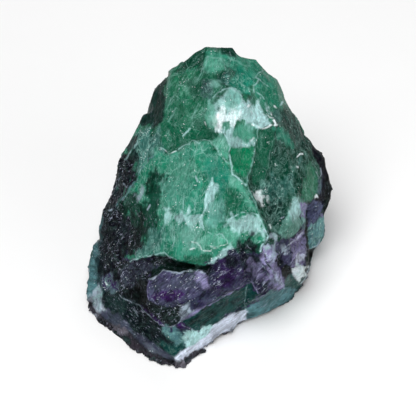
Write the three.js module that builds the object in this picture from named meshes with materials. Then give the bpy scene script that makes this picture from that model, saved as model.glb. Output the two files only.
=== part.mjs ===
// A rough piece of banded fluorite as it was broken from its vein: a green dome over a purple shelf,
// a teal slab with a white seam, and a dark crust of wall rock under the left and front edges.
// It grew as one piece, so it is one solid. Millimetres, +Z up, standing on its flat underside.
import * as THREE from "three";
import { ConvexHull } from "three/addons/math/ConvexHull.js";
import { ImprovedNoise } from "three/addons/math/ImprovedNoise.js";
import { mergeVertices } from "three/addons/utils/BufferGeometryUtils.js";

// The stone's corners are sighted from one eye point in front of it, a little above.
const SIGHT_ELEVATION = THREE.MathUtils.degToRad(40);
const SIGHT_DISTANCE = 600;
// Height of the sight line's aim over the table, at the stone's middle.
const AIM_HEIGHT = 30.2;
// The net of corners is divided until no edge is longer than this.
const LONGEST_EDGE = 3.5;
// Size of the unrolled skin's inner half.
const UNROLL_SIZE = 34;
// The stone's curved outline bulges this far beyond the straight lines between its corners.
const OUTLINE_BULGE = 0.3;

// Each corner of the show side is [across, up, out]: to the right, up, and towards the eye.

// The outline as it is sighted, clockwise from the summit.
const OUTLINE_RIGHT = [
  [-0.5, 40, 5], [1.5, 39.8, 6], [2.8, 39.5, 6.5], [3.4, 40.2, 5], [6.2, 40, 4], [8, 37.8, 3],
  [10.5, 37, 1], [12, 37, 0], [13.3, 35.5, -1], [15, 33.6, -3], [17.5, 32.2, -5], [18.5, 30, -6],
  [19.5, 27, -8], [20.5, 24.5, -9], [22.2, 21.8, -11], [24, 18.2, -13], [25.2, 17.2, -14],
  [27, 14.5, -16], [28.5, 13, -17], [29.2, 10, -18], [30.2, 7, -19], [30.2, 2.5, -19.5],
  [29.2, -0.5, -20], [28.5, -1.5, -20], [28.6, -4.2, -21], [28.5, -7, -22], [27.5, -8.8, -23],
  [26.2, -10.5, -24], [25.5, -14, -22], [24.2, -17.5, -20],
];
const OUTLINE_FOOT = [
  [22.2, -19.8, -20], [19.2, -23.5, -17], [16, -25.6, -14], [12.5, -26.8, -11.5], [9.8, -26.8, -11],
  [8, -28.2, -9], [5, -30, -7], [1, -33, -4.5], [-1, -34.2, -3], [-2, -36, -2.5], [-4.5, -37.5, -2],
  [-5.2, -39.2, 0.5], [-7, -40, 1.5], [-8.2, -39.2, 1], [-12, -39, 0.5], [-14.5, -38, -0.5],
  [-16.5, -36, -3], [-19.5, -34.5, -4.5], [-20.2, -32.5, -7], [-21.2, -30.8, -9],
  [-24, -30.5, -9.5], [-27, -29.2, -11], [-28.5, -27, -13], [-29.8, -24.8, -15.5],
];
const OUTLINE_LEFT = [
  [-30.2, -21.5, -16.5], [-30.1, -19.2, -17], [-29.5, -17.5, -17.5], [-29.4, -14.5, -18],
  [-28.8, -12, -18], [-28.5, -9.5, -18], [-27.2, -5, -17], [-26, -1, -15.5], [-24.8, 1, -14.5],
  [-23.5, 4.5, -13], [-23.2, 7.2, -12.5], [-22.2, 11.2, -12], [-20.8, 14, -11], [-19.2, 17, -10],
  [-17.8, 19.5, -9], [-15.8, 22.5, -8], [-14, 26.8, -7], [-12.8, 29.8, -5.5], [-11.2, 32, -4],
  [-10, 34.5, -2], [-7.5, 35.4, 0], [-5.5, 37, 1.5], [-2.8, 38.8, 3.5],
];

// The crown of the green dome, with a small notch beside its pale triangle.
const CROWN = [
  [0, 37.8, 8], [4, 36.5, 9], [4.5, 34.5, 10], [1, 33.2, 11], [-1.2, 34.5, 8], [-6, 35.5, 3],
  [-9, 33.5, 2], [7, 37.5, 6], [3.5, 32.9, 8], [6, 34, 8], [10.5, 34.5, 5], [13, 34, 3],
  [11.5, 30.8, 6.5], [12, 28, 6.5], [16, 31, 1], [17, 27.5, 0], [2, 31.5, 10.5], [6.8, 31.5, 8.8],
];
// The upper left face, which ends below in a broken lip over the large front face.
const UPPER_LEFT = [
  [-4.5, 32, 7], [-2, 29, 10], [-7, 28, 7], [-10.2, 30, 1.5], [-10.5, 25.8, 2.5], [-11.2, 21.2, 3],
  [-13.5, 24.5, -3.5], [-14, 19.5, -1], [-16.2, 20, -5], [-11.8, 18, 3], [-11.2, 15.2, 4],
  [-8.2, 20.8, 6.5], [-4.5, 23.2, 9], [-5.5, 18.8, 7.8], [-1, 19, 9], [-0.5, 22.8, 11],
  [0.5, 26.2, 11.8],
];
const LIP_FOOT = [[-9, 14.8, 4.6], [-6.5, 16.2, 6.2], [-4, 17.5, 7.6], [-1.5, 17.8, 8.6], [1, 17.8, 9.8]];
const LIP_EDGE = [
  [-9.5, 13.8, 6], [-7, 15, 8], [-4.5, 16.2, 9.5], [-2, 16.5, 10.5], [0.8, 16.5, 11.5], [3, 17.5, 12.5],
];
// The pale crest where the upper faces meet.
const CREST = [
  [2.2, 28.2, 12.5], [4.5, 25.5, 14], [3.5, 20, 12.8], [1.8, 19.5, 12], [5.5, 30, 11.5],
  [9.2, 27.5, 10], [9.8, 25.2, 10], [8, 24, 12.8], [14.2, 24.5, 5.5], [14.5, 21.5, 6],
  [13.5, 19.5, 6.8], [6, 20.8, 13.2], [10.5, 22.5, 10.3],
];
// Two deep green windows under the crest, and the rib that runs down from them.
const WINDOWS = [
  [12.2, 20, 8.2], [4.5, 18.2, 13.2], [5.8, 15.8, 12.8], [11.5, 15.2, 9], [5, 13.8, 13.2],
  [6.2, 10.5, 13.6], [7.5, 7.5, 13.6], [9.8, 5.5, 13], [10.5, 9, 10.5], [8.2, 12, 10.3],
  [8.8, 18, 10.8],
];
const RIB = [[11.5, 1.2, 12.8], [13, -2.5, 12.5], [15, -6.2, 11], [15.5, -8.2, 10]];
const RIGHT_FACE = [
  [17, 21, 3.2], [20, 22.5, -4], [20.5, 18, -2.5], [16, 16.8, 4], [22.2, 14, -5], [25.8, 12, -10.5],
  [27.8, 8, -13], [27, 3.2, -11.5], [25, 0.8, -8.5], [20.5, 10.5, 0], [15.5, 10.8, 5],
  [12, 4.5, 8], [15, 5.8, 5.5], [19.2, 4.5, 2], [23.5, 6.5, -4], [13.8, 0.5, 7.5],
  [17, -1.8, 4.5], [15.8, -4.8, 6.5], [20, 1.5, 2],
];
// The large front face: its left ridge, its upper part, the pale step across it and its lower lobes.
const FRONT_RIDGE = [
  [-14.2, 12.5, 1], [-16.2, 10, -1], [-17.5, 7.2, -2], [-19.5, 4.5, -4], [-21.8, 1.5, -7],
];
const FRONT_UPPER = [
  [-12, 9, 3.8], [-12, 4.5, 4], [-4.5, 12, 9.3], [0.5, 10.8, 11.3], [-5.8, 5, 9], [-1.2, 4.5, 11],
  [0.8, 6, 12], [-0.5, 2, 12.6], [-0.8, -2.2, 13.3], [3.5, 4.5, 12], [5, 0.5, 10.8],
  [7.5, 2, 11], [8.8, 4.5, 13], [5, -2.8, 11.6], [2, 0, 12], [-14.5, 0.8, 2.2], [-17, -1.8, -1],
];
const FRONT_STEP = [[-10, 0.2, 7], [-5.2, -1.2, 9.8], [-2.5, -1, 11.5], [-9.5, -2.5, 9], [-5, -2.8, 11.7]];
const FRONT_LOWER = [
  [9.5, -1, 14.3], [10.5, -4.5, 14], [8, -7, 13.5], [4.2, -5.2, 13.6], [1.2, -6.8, 13.4],
  [-10.8, -8, 8], [-6.5, -8.8, 10.8], [-2, -9.5, 12.8], [2.8, -9.8, 13.3], [5.2, -8.8, 14],
  [-14.5, -8, 3], [-19.5, -5, -4.5], [-21.5, -8.8, -7],
];
const FRONT_HEM = [
  [-17.5, -12.8, 0.5], [-14, -11.8, 4.5], [-10.5, -11, 8.5], [-7, -12.8, 10.5], [-3.2, -13.8, 12],
  [0, -14, 12.5],
];
// The dark gap between the hem of the green face and the purple block.
const GAP = [[-14.5, -17, 1], [-11, -14.6, 4.5], [-7, -15.1, 6], [-3.2, -14.8, 7.5], [-0.2, -15.5, 9.5]];
const PURPLE_BLOCK = [
  [-15.2, -19, 7], [-14.2, -17.8, 7.5], [-11, -15.8, 10], [-7, -16.2, 11.8], [-3, -15.2, 13],
  [-0.8, -16.2, 13.8], [-15.2, -22.8, 7.5], [-12, -23.5, 10], [-7, -22.5, 12.3], [0, -19.5, 13.3],
  [-9.5, -19.5, 11.6], [-4.5, -19, 13], [-15.9, -22, 0.5], [-16.2, -20, 0],
];
const PURPLE_WALL = [
  [3, -13.5, 13], [7, -11, 12.5], [10.5, -11, 12], [13, -10.8, 11], [9.8, -9, 10.8],
  [4.2, -17, 12.8], [9.5, -15, 11.6], [-0.8, -23.2, 11.3], [5.5, -20.2, 11], [11, -18.2, 9.3],
  [12.5, -21.8, 5], [14.5, -15, 8.8], [16.2, -11.8, 8], [17.2, -19.2, 3.8], [-6.2, -27.5, 8.5],
  [-9, -24.5, 8], [-11.2, -27.2, 5], [-8.8, -29.8, 7],
];
// The pale spire and its block, a cleft, and the outer slab beyond it.
const SPIRE_BLOCK = [
  [22, 2.5, 1], [23.8, 0.5, -4], [24.2, -5, -5.5], [19.2, -7, 3.5], [20.8, -3.5, 2.5],
  [24.5, -10.5, -8.5], [21, -10.5, 0.5], [20.8, -14.5, -1.5], [23, -16.5, -8], [24.8, -14.5, -13],
  [18, -10.5, 3], [18.8, -15, 0],
];
const CLEFT = [[24.5, -1, -13], [24.8, -8, -16.5], [25, -12, -19]];
const OUTER_SLAB = [[25.2, 0.5, -12.5], [28.2, 2, -17], [25.2, -6, -15], [25.8, -10.2, -20], [27.2, -3.5, -17]];
const TEAL_SLAB = [
  [-26, -23.2, -13.5], [-22, -22.2, -9.5], [-17.8, -24.2, -5], [-14.5, -27, -0.5],
  [-11.2, -29.2, 3.5], [-9, -30.5, 6], [-5.5, -29.2, 6.8], [-2, -26.2, 7.8], [4.2, -22.8, 6.5],
  [10.5, -19, 5.5], [-8, -37, 2.5], [-4.5, -34.5, 1.5], [1.8, -30.5, -1.5], [8.5, -24.8, -5.5],
  [-26.2, -25.5, -13], [-19.5, -28.5, -7], [-14.5, -33.5, -2.2], [-10.8, -36, 0.8],
  [13.5, -23, -5], [18, -20.5, -9], [20.8, -17.5, -9.5],
];
const CRUST = [
  [-28, -23.5, -16], [-27.5, -26.5, -13.5], [-23.2, -27.5, -10.5], [-20.5, -29.5, -7.5],
  [-17, -33, -3.5], [-12, -36.8, 0], [-7.5, -38.2, 2.2], [-4.5, -36, 0],
];
const LEFT_WALL = [
  [-25.5, -1.8, -13.5], [-26.8, -8, -15.5], [-27.5, -13.5, -16], [-28, -19.2, -16.5],
  [-25, -13.5, -12], [-23.2, -6.8, -9.5], [-22, 6.5, -10], [-19, 14.5, -6], [-18.8, 9, -5],
  [-20.8, 11.5, -9.5], [-22, -14.2, -8], [-24, -19.2, -10], [-26, -18.2, -13], [-18.2, -17, -4],
  [-20.8, -20.5, -7.5], [-17, -22, -5], [-15.2, -13.8, 0.5], [-17.5, 17, -4], [-14.5, 15.8, 0],
];

// The hidden side is given in x, y, z: the two flanks behind the outline, the back in rings of corners
// from the table up, then the underside.
const FLANKS = [
  [-28, 14, 8], [-25, 20, 14], [-22, 22, 26], [-15.5, 26.5, 38], [-11, 27.5, 48],
  [28.5, 22, 10], [29, 24, 22], [22.5, 27, 34], [17, 27.5, 44],
];
const BACK = [
  [28, 24, 4], [28.5, 33, 3], [17, 40, 2.5], [2, 42.5, 3], [-12, 40, 2.5], [-21, 32, 3],
  [-25.5, 20, 3], [-28.5, 8, 3], [29, 29, 13], [22, 38, 14], [8, 41.5, 12], [-7, 42, 15],
  [-17, 36, 12], [-22.5, 26, 12], [28, 30, 22], [18, 38.5, 25], [3, 42, 24], [-11, 38.5, 26],
  [-20, 28, 24], [20, 31, 35], [11, 37.5, 38], [-2, 38, 37], [-13, 32.5, 38], [13, 30, 47],
  [3, 33.5, 50], [-7, 31.5, 49], [6.5, 27.5, 56], [-2, 28, 56.5], [1.5, 24, 62],
];
const UNDERSIDE_RIM = [
  [-8, -21, -0.8], [-16, -14, -0.8], [-24, -6, -0.8], [-26, 6, -0.8], [-23, 19, -0.8],
  [-18, 29, -0.8], [-9, 36, -0.8], [3, 38.5, -0.8], [15, 36, -0.8], [25, 30, -0.8], [25, 20, -0.8],
  [21, 9, -0.8], [14, 0, -0.8], [6, -9, -0.8], [-1, -16, -0.8],
];
const UNDERSIDE = [[-8, -5, -2], [3, 4, -2], [-12, 14, -2], [2, 16, -2], [14, 20, -2], [-2, 28, -2]];

const sine = Math.sin(SIGHT_ELEVATION);
const cosine = Math.cos(SIGHT_ELEVATION);

// A sighted corner in x, y, z. A corner nearer the eye than the aim point looks larger than it is.
function sighted([across, up, out]) {
  const trueShare = 1 - out / SIGHT_DISTANCE;
  const right = across * trueShare;
  const rise = up * trueShare;
  return new THREE.Vector3(right, rise * sine - out * cosine, AIM_HEIGHT + rise * cosine + out * sine);
}

const SHOW_SIDE = [
  CROWN, UPPER_LEFT, LIP_FOOT, LIP_EDGE, CREST, WINDOWS, RIB, RIGHT_FACE, FRONT_RIDGE, FRONT_UPPER,
  FRONT_STEP, FRONT_LOWER, FRONT_HEM, GAP, PURPLE_BLOCK, PURPLE_WALL, SPIRE_BLOCK, CLEFT, OUTER_SLAB,
  TEAL_SLAB, CRUST, LEFT_WALL,
].flat();

// Where the line from the outline's middle through a sighted point crosses the outline.
const MIDDLE = new THREE.Vector2(0, -3);
function outlineReach(outline, toward) {
  let reach = Infinity;
  outline.forEach(([ax, ay], i) => {
    const [bx, by] = outline[(i + 1) % outline.length];
    const side = new THREE.Vector2(bx - ax, by - ay);
    const start = new THREE.Vector2(ax, ay).sub(MIDDLE);
    const across = toward.cross(side);
    if (Math.abs(across) < 1e-9) return;
    const distance = start.cross(side) / across;
    const share = start.cross(toward) / across;
    if (share >= 0 && share <= 1 && distance > 0) reach = Math.min(reach, distance);
  });
  return reach;
}

// The stone's skin unrolled into a plane: the show side as it is sighted, the hidden side outside it.
function unrolledHidden(point, outline) {
  const rise = point.y * sine + (point.z - AIM_HEIGHT) * cosine;
  const out = (point.z - AIM_HEIGHT) * sine - point.y * cosine;
  const trueShare = 1 - out / SIGHT_DISTANCE;
  const place = new THREE.Vector2(point.x / trueShare, rise / trueShare).sub(MIDDLE);
  const far = Math.max(place.length(), 0.5);
  const toward = place.divideScalar(far);
  const reach = outlineReach(outline, toward);
  return toward.multiplyScalar((reach * reach) / Math.min(far, reach * 0.97));
}
function ontoBall(place) {
  const u = place.x / UNROLL_SIZE;
  const v = place.y / UNROLL_SIZE;
  const square = u * u + v * v;
  return new THREE.Vector3(2 * u, 2 * v, 1 - square).divideScalar(1 + square);
}

function bulged([across, up, out]) {
  const place = new THREE.Vector2(across, up).sub(MIDDLE);
  place.setLength(place.length() + OUTLINE_BULGE).add(MIDDLE);
  return [place.x, place.y, out];
}

// Joins the corners into one closed net: neighbours are found on the unrolled skin.
function stoneNet() {
  const outline = [...OUTLINE_RIGHT, ...OUTLINE_FOOT, ...OUTLINE_LEFT].map(bulged);
  const shown = [outline, SHOW_SIDE].flat();
  const hidden = [FLANKS, BACK, UNDERSIDE_RIM, UNDERSIDE].flat().map((p) => new THREE.Vector3(...p));
  const places = [
    ...shown.map(([across, up]) => new THREE.Vector2(across, up).sub(MIDDLE)),
    ...hidden.map((p) => unrolledHidden(p, outline)),
  ];
  const onBall = places.map(ontoBall);
  const indexOf = new Map(onBall.map((p, i) => [p, i]));
  const triangles = [];
  for (const face of new ConvexHull().setFromPoints(onBall).faces) {
    const a = face.edge;
    triangles.push([a, a.next, a.prev].map((edge) => indexOf.get(edge.head().point)));
  }
  return { points: [...shown.map(sighted), ...hidden], triangles };
}

// Halves every edge that is too long, and divides the triangles beside it to suit.
function divided(net, longest) {
  const points = [...net.points];
  const middles = new Map();
  const middle = (i, j) => {
    if (points[i].distanceTo(points[j]) <= longest) return -1;
    const key = i < j ? i + "/" + j : j + "/" + i;
    if (!middles.has(key)) {
      middles.set(key, points.length);
      points.push(points[i].clone().add(points[j]).multiplyScalar(0.5));
    }
    return middles.get(key);
  };
  const triangles = [];
  for (const [a, b, c] of net.triangles) {
    const ab = middle(a, b);
    const bc = middle(b, c);
    const ca = middle(c, a);
    triangles.push(...split([a, b, c], [ab, bc, ca], points));
  }
  return { points, triangles, grew: middles.size > 0 };
}

// The smaller triangles of one whose sides have these middle points, where -1 is an undivided side.
function split(corners, middles, points) {
  const count = middles.filter((m) => m >= 0).length;
  if (count === 0) return [corners];
  let [a, b, c] = corners;
  let [ab, bc, ca] = middles;
  if (count === 3) return [[a, ab, ca], [ab, b, bc], [ca, bc, c], [ab, bc, ca]];
  while (count === 1 ? ab < 0 : ab >= 0) {
    [a, b, c] = [b, c, a];
    [ab, bc, ca] = [bc, ca, ab];
  }
  if (count === 1) return [[a, ab, c], [ab, b, c]];
  const shortWay = points[a].distanceTo(points[bc]) < points[b].distanceTo(points[ca]);
  return shortWay ? [[a, b, bc], [a, bc, ca], [ca, bc, c]] : [[a, b, ca], [b, bc, ca], [ca, bc, c]];
}

// Relief of the broken surface: how far a point stands in or out along its normal.
const noise = new ImprovedNoise();
const CRUST_HEIGHT = 5;
const CRUST_LUMP = 0.75;
const CRUST_LUMP_SIZE = 3.6;
const BREAK_DEPTH = 0.45;
const BREAK_SIZE = 6.5;
const CHIP_DEPTH = 0.22;
const CHIP_SIZE = 2.6;
const LEDGE_DEPTH = 0.7;
const LEDGE_SIZE = 9;
const LEDGE_EDGE = 0.12;
function wobble(p, size, shift) {
  return noise.noise(p.x / size + shift, p.y / size - shift, p.z / size + 2 * shift);
}
function relief(p) {
  const inCrust = THREE.MathUtils.clamp(1 - p.z / CRUST_HEIGHT, 0, 1);
  const onBack = THREE.MathUtils.smoothstep(p.y, 18, 32);
  const inLedge = THREE.MathUtils.clamp(wobble(p, LEDGE_SIZE, 9.2) / LEDGE_EDGE, -1, 1);
  const lumps = CRUST_LUMP * inCrust * wobble(p, CRUST_LUMP_SIZE, 7.3);
  const breaks = BREAK_DEPTH * wobble(p, BREAK_SIZE, 1.7);
  const chips = CHIP_DEPTH * wobble(p, CHIP_SIZE, 4.1);
  const offTable = THREE.MathUtils.smoothstep(p.z, 0, 2);
  return (lumps + breaks + chips + LEDGE_DEPTH * onBack * inLedge) * offTable;
}

function normalsOf(net) {
  const normals = net.points.map(() => new THREE.Vector3());
  const side = new THREE.Vector3();
  const other = new THREE.Vector3();
  for (const [a, b, c] of net.triangles) {
    side.subVectors(net.points[b], net.points[a]);
    other.subVectors(net.points[c], net.points[a]);
    side.cross(other);
    for (const i of [a, b, c]) normals[i].add(side);
  }
  return normals.map((n) => n.normalize());
}

// The whole stone: net, divided, roughened, flattened underneath, and set on its own middle.
function stone() {
  let net = stoneNet();
  do net = divided(net, LONGEST_EDGE);
  while (net.grew);
  const normals = normalsOf(net);
  const points = net.points.map((p, i) => p.clone().addScaledVector(normals[i], relief(p)));
  for (const p of points) p.z = Math.max(p.z, 0);
  const box = new THREE.Box3().setFromPoints(points);
  const middle = box.getCenter(new THREE.Vector3());
  const geometry = new THREE.BufferGeometry().setFromPoints(points);
  geometry.setIndex(net.triangles.flat());
  geometry.translate(-middle.x, -middle.y, -box.min.z);
  const merged = mergeVertices(geometry, 1e-4);
  merged.computeVertexNormals();
  return merged;
}

const fluorite = new THREE.MeshStandardMaterial({ color: 0x2f6b4f, roughness: 0.28, metalness: 0 });
const specimen = new THREE.Mesh(stone(), fluorite);
specimen.name = "fluorite_specimen";

const group = new THREE.Group();
group.add(specimen);
export default group;
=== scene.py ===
"""A rough piece of banded fluorite on a pale floor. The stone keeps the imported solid's shape and gains its
fine breaks, its growth bands and its veils. The patches of colour are laid where they are seen from the
show side; the hidden side carries the same growth bands round the stone."""

import math

import bpy
import numpy as np
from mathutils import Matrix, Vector


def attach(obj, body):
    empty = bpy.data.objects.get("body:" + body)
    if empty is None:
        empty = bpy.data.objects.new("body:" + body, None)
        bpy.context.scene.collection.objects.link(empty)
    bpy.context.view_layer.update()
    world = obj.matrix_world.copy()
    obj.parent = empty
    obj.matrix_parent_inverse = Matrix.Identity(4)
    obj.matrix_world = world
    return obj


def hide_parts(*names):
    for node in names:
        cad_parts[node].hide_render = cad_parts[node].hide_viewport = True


bl_info = {
    "name": "Banded fluorite specimen",
    "version": (1, 0, 0),
    "blender": (4, 5, 0),
    "location": "3D View > Sidebar > Fluorite",
    "description": "Builds a rough banded fluorite stone and its studio around the packed frame",
    "category": "Add Mesh",
}

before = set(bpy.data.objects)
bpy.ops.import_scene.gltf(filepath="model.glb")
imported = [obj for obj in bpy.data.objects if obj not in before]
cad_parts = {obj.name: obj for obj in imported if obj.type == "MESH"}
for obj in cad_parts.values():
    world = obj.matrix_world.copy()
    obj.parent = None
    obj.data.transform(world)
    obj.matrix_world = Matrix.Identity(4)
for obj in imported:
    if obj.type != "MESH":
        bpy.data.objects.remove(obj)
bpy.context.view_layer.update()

STONE_NODE = "fluorite_specimen"
MM = 0.001

# The sight line of the show side, in millimetres: the picture is 416 px square and 104 mm wide at the aim.
PICTURE_SIDE = 416
PICTURE_WIDTH = 104.0
SIGHT_AIM = np.array([-0.176, -8.099, 30.2])
SIGHT_ELEVATION = math.radians(40.0)
SIGHT_DISTANCE = 600.0
SENSOR_WIDTH = 36.0
PIXELS_PER_MM = PICTURE_SIDE / PICTURE_WIDTH
TO_EYE = np.array([0.0, -math.cos(SIGHT_ELEVATION), math.sin(SIGHT_ELEVATION)])
UP_IN_PICTURE = np.array([0.0, math.sin(SIGHT_ELEVATION), math.cos(SIGHT_ELEVATION)])
ACROSS_PICTURE = np.array([1.0, 0.0, 0.0])

# Colours by name, as 0 to 255 display values.
COLOURS = {
    "mid_green": (24, 106, 80),
    "dome_green": (16, 84, 60),
    "deep_green": (8, 64, 44),
    "night_green": (8, 40, 34),
    "bottle_green": (6, 52, 38),
    "emerald": (14, 118, 80),
    "sea_green": (44, 122, 100),
    "leaf_green": (40, 108, 80),
    "light_green": (72, 144, 122),
    "pale_green": (108, 158, 148),
    "aqua": (92, 154, 142),
    "pale_aqua": (164, 202, 204),
    "white": (236, 246, 250),
    "grey_green": (48, 94, 88),
    "blue_green": (24, 112, 92),
    "dark_teal": (4, 14, 20),
    "teal": (6, 54, 52),
    "grey_teal": (76, 116, 122),
    "pale_grey": (146, 160, 174),
    "seam_white": (196, 204, 220),
    "strip_grey": (56, 58, 76),
    "slate": (66, 70, 96),
    "black_violet": (7, 5, 17),
    "plum": (35, 29, 58),
    "violet": (48, 22, 72),
    "grey_violet": (58, 56, 82),
    "lilac": (122, 116, 154),
    "black": (4, 4, 6),
    "black_green": (3, 24, 18),
    "rock": (7, 7, 13),
    "crust": (50, 46, 54),
    # The crust's grey, partly painted highlights on the tops of its lumps.
    "crust_highlight_grey": (112, 108, 118),
}

# How each kind of surface breaks: relief is its height in mm, mottle how far its colour wanders, rough its
# roughness, the glint value how many painted glints (painted highlights) it shows, veil how much milky
# thread, spread how far a patch's edge is feathered, the scratch value how many fine grey scratches cross it,
# partly painted highlights on the lit edges of its fine breaks, and run the way its threads lie.
KINDS = {
    "silk": dict(relief=0.08, mottle=0.42, rough=0.26, fleck=0.16, veil=0.60, scratch=0.0, spread=1.8,
                 run="hanging"),
    "dome": dict(relief=0.11, mottle=0.50, rough=0.24, fleck=0.24, veil=0.46, scratch=0.0, spread=1.8,
                 run="dome_left"),
    "lens": dict(relief=0.07, mottle=0.38, rough=0.20, fleck=0.16, veil=0.40, scratch=0.0, spread=1.6,
                 run="dome_right"),
    "glassy": dict(relief=0.05, mottle=0.32, rough=0.16, fleck=0.08, veil=0.25, scratch=0.0, spread=1.3,
                   run="hanging"),
    "cloud": dict(relief=0.15, mottle=0.62, rough=0.36, fleck=0.80, veil=0.80, scratch=0.0, spread=1.9,
                  run="hanging"),
    "broken": dict(relief=0.30, mottle=0.90, rough=0.32, fleck=0.15, veil=0.08, scratch=0.80, spread=1.4,
                   run="tufted"),
    "shaded": dict(relief=0.14, mottle=0.60, rough=0.36, fleck=0.04, veil=0.04, scratch=0.22, spread=1.3,
                   run="hanging"),
    "banded": dict(relief=0.08, mottle=0.75, rough=0.28, fleck=0.06, veil=0.16, scratch=0.34, spread=1.0,
                   run="layers"),
    "falling_band": dict(relief=0.08, mottle=0.60, rough=0.28, fleck=0.0, veil=0.08, scratch=0.50, spread=1.0,
                         run="falling"),
    "rising_band": dict(relief=0.08, mottle=0.60, rough=0.28, fleck=0.0, veil=0.10, scratch=0.50, spread=1.0,
                        run="rising"),
    "crusty": dict(relief=0.85, mottle=0.80, rough=0.55, fleck=0.06, veil=0.05, scratch=0.40, spread=1.0,
                   run="hanging"),
}

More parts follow.
